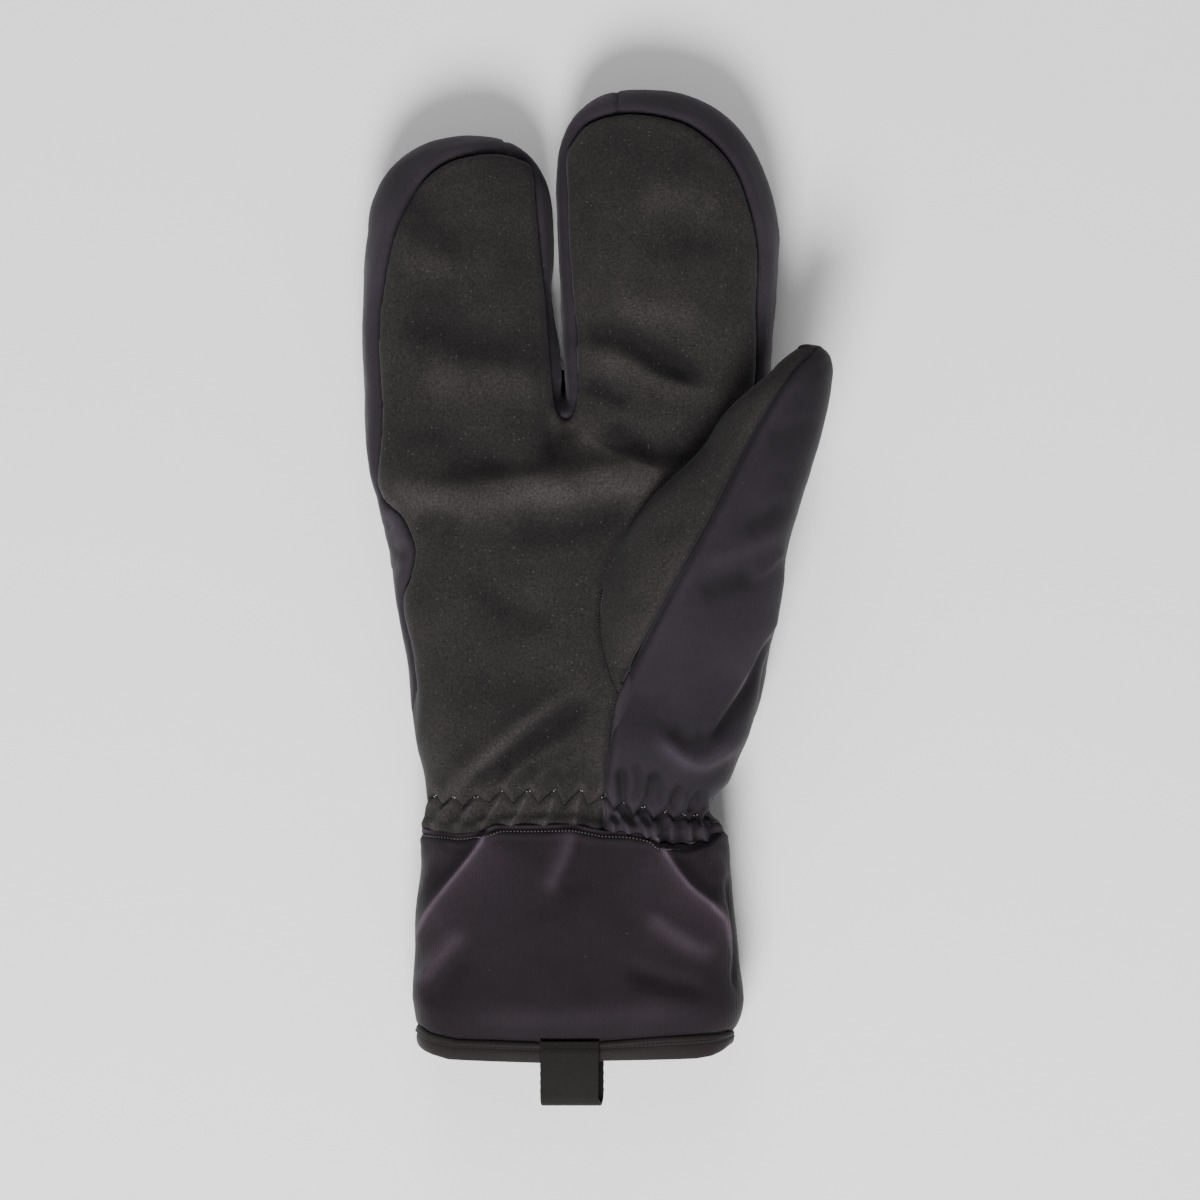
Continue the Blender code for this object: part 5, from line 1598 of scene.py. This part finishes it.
def build_stitches(trees, cloth):
    hand = trees["hand"]
    dark = cloth["dark_thread"]
    pieces = [
        sewn_round("cuff_topstitch", trees["cuff"], CUFF_TOP, CUFF_STITCH_DOWN, CUFF_STITCH,
                   cloth["middle_thread"]),
        sewn_round("hem_stitch", trees["hem"], HEM_TOP, HEM_STITCH_DOWN, HEM_STITCH, dark),
        sewn_along("elastic_stitch", hand, ELASTIC, ELASTIC_STITCH, dark),
    ]  # fmt: skip
    peaks = seen([p for a, p, b in zip(ELASTIC, ELASTIC[1:], ELASTIC[2:]) if p[1] < min(a[1], b[1])])
    flecks = [p + np.array(((dx * MM, dy * MM))) for p in peaks for dx, dy in FLECK_PLACES]
    places, normals = dropped(hand, flecks, ELASTIC_FLECK.lift * MM)
    pieces.append(thread("elastic_flecks", places, normals, ELASTIC_FLECK, cloth["pale_thread"],
                         lambda k: k % 4 != 3 and (k * 7) % 5 < 3))  # fmt: skip
    for k, line in enumerate(THUMB_STITCH_LINES):
        curve = smooth_points(line, 4)
        pieces.append(sewn_along(f"thumb_seam_{k}", hand, curve, THUMB_STITCH, dark))
    pieces.append(sewn_along("loop_stitch", [trees["loop"]], LOOP_STITCH_LINE, LOOP_STITCH, dark))
    return pieces


def grey(value):
    return (value, value, value)


class Graph:
    """A material's nodes. What feeds an input is another node's output or a plain value."""

    def __init__(self, name):
        self.material = bpy.data.materials.new(name)
        self.material.use_nodes = True
        self.nodes = self.material.node_tree.nodes
        self.shader = self.nodes["Principled BSDF"]

    def feed(self, socket, value):
        if isinstance(value, bpy.types.NodeSocket):
            self.material.node_tree.links.new(value, socket)
        else:
            socket.default_value = value

    def set(self, node, **inputs):
        for name, value in inputs.items():
            self.feed(node.inputs[name.replace("_", " ")], value)

    def add(self, kind, **inputs):
        node = self.nodes.new(kind)
        self.set(node, **inputs)
        return node

    def ramp(self, factor, *stops):
        node = self.add("ShaderNodeValToRGB", Fac=factor)
        elements = node.color_ramp.elements
        while len(elements) < len(stops):
            elements.new(0.5)
        for element, (position, colour) in zip(elements, stops):
            element.position = position
            element.color = (*colour, 1)
        return node.outputs["Color"]

    def math(self, operation, *inputs):
        node = self.nodes.new("ShaderNodeMath")
        node.operation = operation
        for socket, value in zip(node.inputs, inputs):
            self.feed(socket, value)
        return node.outputs[0]

    def mix(self, blend, factor, first, second):
        node = self.nodes.new("ShaderNodeMix")
        node.data_type = "RGBA"
        node.blend_type = blend
        for k, value in ((0, factor), (6, first), (7, second)):
            self.feed(node.inputs[k], value)
        return node.outputs[2]

    def times(self, colour, factor):
        return self.mix("MULTIPLY", 1.0, colour, factor)


def cloth_material(name, dark, light, roughness, sheen, grain, stretch=(1, 1, 1), relief=0.1,
                   lint=None, ribs=0.0, level=0.2, mottle=0.18, valley=0.45,
                   crest=1.9):  # fmt: skip
    """Cloth with a mottled colour and a fine grain and, where asked for, lint or ribs.

    The valleys of its relief attribute get a painted shade, and its crests a painted highlight.
    """
    graph = Graph(name)
    place = graph.add("ShaderNodeTexCoord").outputs["Object"]
    scaled = graph.add("ShaderNodeMapping", Vector=place, Scale=stretch).outputs["Vector"]
    fine = graph.add("ShaderNodeTexNoise", Vector=scaled, Scale=grain, Detail=4.0, Roughness=0.65)
    broad = graph.add("ShaderNodeTexNoise", Vector=place, Scale=45.0, Detail=3.0, Roughness=0.6)
    weave = graph.ramp(fine.outputs["Fac"], (0.32, dark), (0.72, light))
    tone = graph.ramp(broad.outputs["Fac"], (0.3, grey(1 - mottle)), (0.7, grey(1 + mottle)))
    colour = graph.times(weave, tone)
    # Painted shade in the valleys and painted highlight on the crests, read from the relief attribute
    stored = graph.add("ShaderNodeAttribute")
    stored.attribute_name = "relief"
    centred = graph.math("MULTIPLY_ADD", stored.outputs["Fac"], 0.5, 0.5)
    painted_light_and_wear = graph.ramp(centred, (0.0, grey(valley)), (0.5, grey(1)), (1.0, grey(crest)))
    colour = graph.times(colour, painted_light_and_wear)
    height = fine.outputs["Fac"]
    if ribs:
        wave = graph.add("ShaderNodeTexWave", Vector=place, Scale=ribs, Distortion=0.5, Detail=2.0)
        wave.bands_direction = "X"
        height = graph.math("ADD", height, wave.outputs["Fac"])
        shade = graph.ramp(wave.outputs["Fac"], (0.0, grey(0.90)), (1.0, grey(1.08)))
        colour = graph.times(colour, shade)
    if lint:
        dots = graph.add("ShaderNodeTexVoronoi", Vector=place, Scale=lint.scale, Randomness=1.0)
        near = graph.ramp(dots.outputs["Distance"], (0.5 * lint.size, grey(1)), (lint.size, grey(0)))
        pick = graph.add("ShaderNodeSeparateColor", Color=dots.outputs["Color"])
        chosen = graph.ramp(pick.outputs["Red"], (lint.rarity, grey(0)), (1.0, grey(1)))
        speck = graph.math("MULTIPLY", near, chosen)
        colour = graph.mix("MIX", speck, colour, (*grey(lint.colour), 1))
    bump = graph.add("ShaderNodeBump", Height=height, Strength=0.6, Distance=relief * MM)
    graph.set(graph.shader, Base_Color=colour, Normal=bump.outputs["Normal"], Roughness=roughness,
              Sheen_Weight=sheen, Sheen_Roughness=0.45, Specular_IOR_Level=level)  # fmt: skip
    return graph.material


Lint = namedtuple("Lint", "scale size rarity colour")
FINE_LINT = Lint(720.0, 0.20, 0.55, 0.055)
DUST = Lint(330.0, 0.06, 0.6, 0.08)

# What several of the cloths share, and then each of them
SUEDE = {"roughness": 0.95, "sheen": 0.05, "grain": 1500.0, "relief": 0.14, "lint": FINE_LINT}
SOFTSHELL = {"roughness": 0.80, "sheen": 0.05, "grain": 2600.0, "stretch": (1, 0.35, 1),
             "relief": 0.06, "lint": DUST, "level": 0.14}  # fmt: skip
THREAD = {"roughness": 0.6, "sheen": 0.1, "grain": 5000.0, "relief": 0.04}
CLOTHS = {
    "suede": dict(SUEDE, dark=(0.0085, 0.0074, 0.0073), light=(0.0260, 0.0226, 0.0222),
                  mottle=0.24),
    "thumb_suede": dict(SUEDE, dark=(0.0095, 0.0083, 0.0081), light=(0.0262, 0.0229, 0.0224),
                        mottle=0.2),
    "softshell": dict(SOFTSHELL, dark=(0.0118, 0.0092, 0.0124), light=(0.0162, 0.0128, 0.0170)),
    # A lighter copy of the softshell for the finger pockets, with the sheen of their rolled lips
    # painted in
    "pocket_softshell_painted_sheen": dict(SOFTSHELL, dark=(0.0182, 0.0146, 0.0193),
                             light=(0.0244, 0.0198, 0.0260)),
    "cuff_softshell": dict(SOFTSHELL, dark=(0.0084, 0.0060, 0.0080),
                           light=(0.0118, 0.0084, 0.0112), roughness=0.78, sheen=0.04,
                           stretch=(1, 0.3, 1), ribs=430.0, level=0.13, crest=8.0),
    "binding": dict(dark=(0.0098, 0.0070, 0.0073), light=(0.0138, 0.0098, 0.0102), roughness=0.8,
                    sheen=0.05, grain=2400.0, stretch=(1, 0.3, 1), relief=0.06),
    "grosgrain": dict(dark=(0.0036, 0.0030, 0.0027), light=(0.0068, 0.0058, 0.0052),
                      roughness=0.75, sheen=0.05, grain=2000.0, stretch=(0.3, 1, 1), ribs=420.0),
    "dark_thread": dict(THREAD, dark=(0.003, 0.0025, 0.003), light=(0.007, 0.006, 0.007),
                        sheen=0.05),
    "middle_thread": dict(THREAD, dark=(0.038, 0.033, 0.037), light=(0.070, 0.062, 0.068)),
    "pale_thread": dict(THREAD, dark=(0.16, 0.15, 0.14), light=(0.32, 0.30, 0.29), roughness=0.7),
}  # fmt: skip


def build_floor():
    bpy.ops.mesh.primitive_plane_add(size=6.0, location=(0, 0, -0.0002))
    floor = bpy.context.object
    floor.name = "studio_floor"
    graph = Graph("studio_paper")
    paper = graph.add("ShaderNodeTexNoise", Scale=3.0)
    colour = graph.ramp(paper.outputs["Fac"], (0.3, grey(0.90)), (0.7, grey(0.92)))
    graph.set(graph.shader, Base_Color=colour, Roughness=0.9)
    floor.data.materials.append(graph.material)


# Round lights that look at the origin: name, place, size in metres and power in watts
LIGHTS = (("key", (-0.15, -1.00, 1.25), 0.7, 48), ("back", (-0.2, 1.25, 1.1), 1.0, 10))
WORLD_STRENGTH = 0.32


def build_light():
    for name, place, size, power in LIGHTS:
        data = bpy.data.lights.new(name, "AREA")
        data.shape = "DISK"
        data.size = size
        data.energy = power
        light = add_object(name, data)
        light.location = place
        light.rotation_euler = (-Vector(place)).to_track_quat("-Z", "Y").to_euler()
    world = bpy.data.worlds.new("studio")
    bpy.context.scene.world = world
    world.use_nodes = True
    sky = world.node_tree.nodes["Background"]
    sky.inputs["Color"].default_value = (1, 1, 1, 1)
    sky.inputs["Strength"].default_value = WORLD_STRENGTH


def build_camera():
    data = bpy.data.cameras.new("photo_camera")
    data.lens = LENS
    data.sensor_width = SENSOR
    data.sensor_fit = "HORIZONTAL"
    data.clip_end = 20
    camera = add_object("photo_camera", data)
    distance = PHOTO_SIZE * HAND_WIDTH / WIDTH_PIXELS * LENS / SENSOR
    middle = seen((PHOTO_SIZE / 2, PHOTO_SIZE / 2))
    camera.location = (middle[0], middle[1], FOCUS_HEIGHT + distance)
    bpy.context.scene.camera = camera


def dress(piece, node):
    """Puts a piece under the root and hides the node of the model that it stands in for."""
    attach(piece, "root")
    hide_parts(node)


def main():
    cloth = {name: cloth_material(name, **look) for name, look in CLOTHS.items()}
    palm, back, hand_tree = build_hand(cloth["suede"], cloth["pocket_softshell_painted_sheen"])
    dress(palm, "palm_panel")
    dress(back, "back_shell")
    (outer, inner), thumb_trees = build_thumb(cloth["thumb_suede"], cloth["softshell"])
    dress(outer, "thumb_outer_panel")
    dress(inner, "thumb_palm_panel")
    cuff, cuff_tree = build_cuff(cloth["cuff_softshell"])
    dress(cuff, "cuff")
    hem, hem_tree = build_hem(cloth["binding"])
    dress(hem, "hem_band")
    loop, loop_tree = build_loop(cloth["grosgrain"])
    dress(loop, "pull_loop")
    trees = {"hand": [hand_tree, *thumb_trees], "cuff": cuff_tree, "hem": hem_tree,
             "loop": loop_tree}  # fmt: skip
    for piece in build_stitches(trees, cloth):
        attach(piece, "root")
    build_floor()
    build_light()
    build_camera()


main()
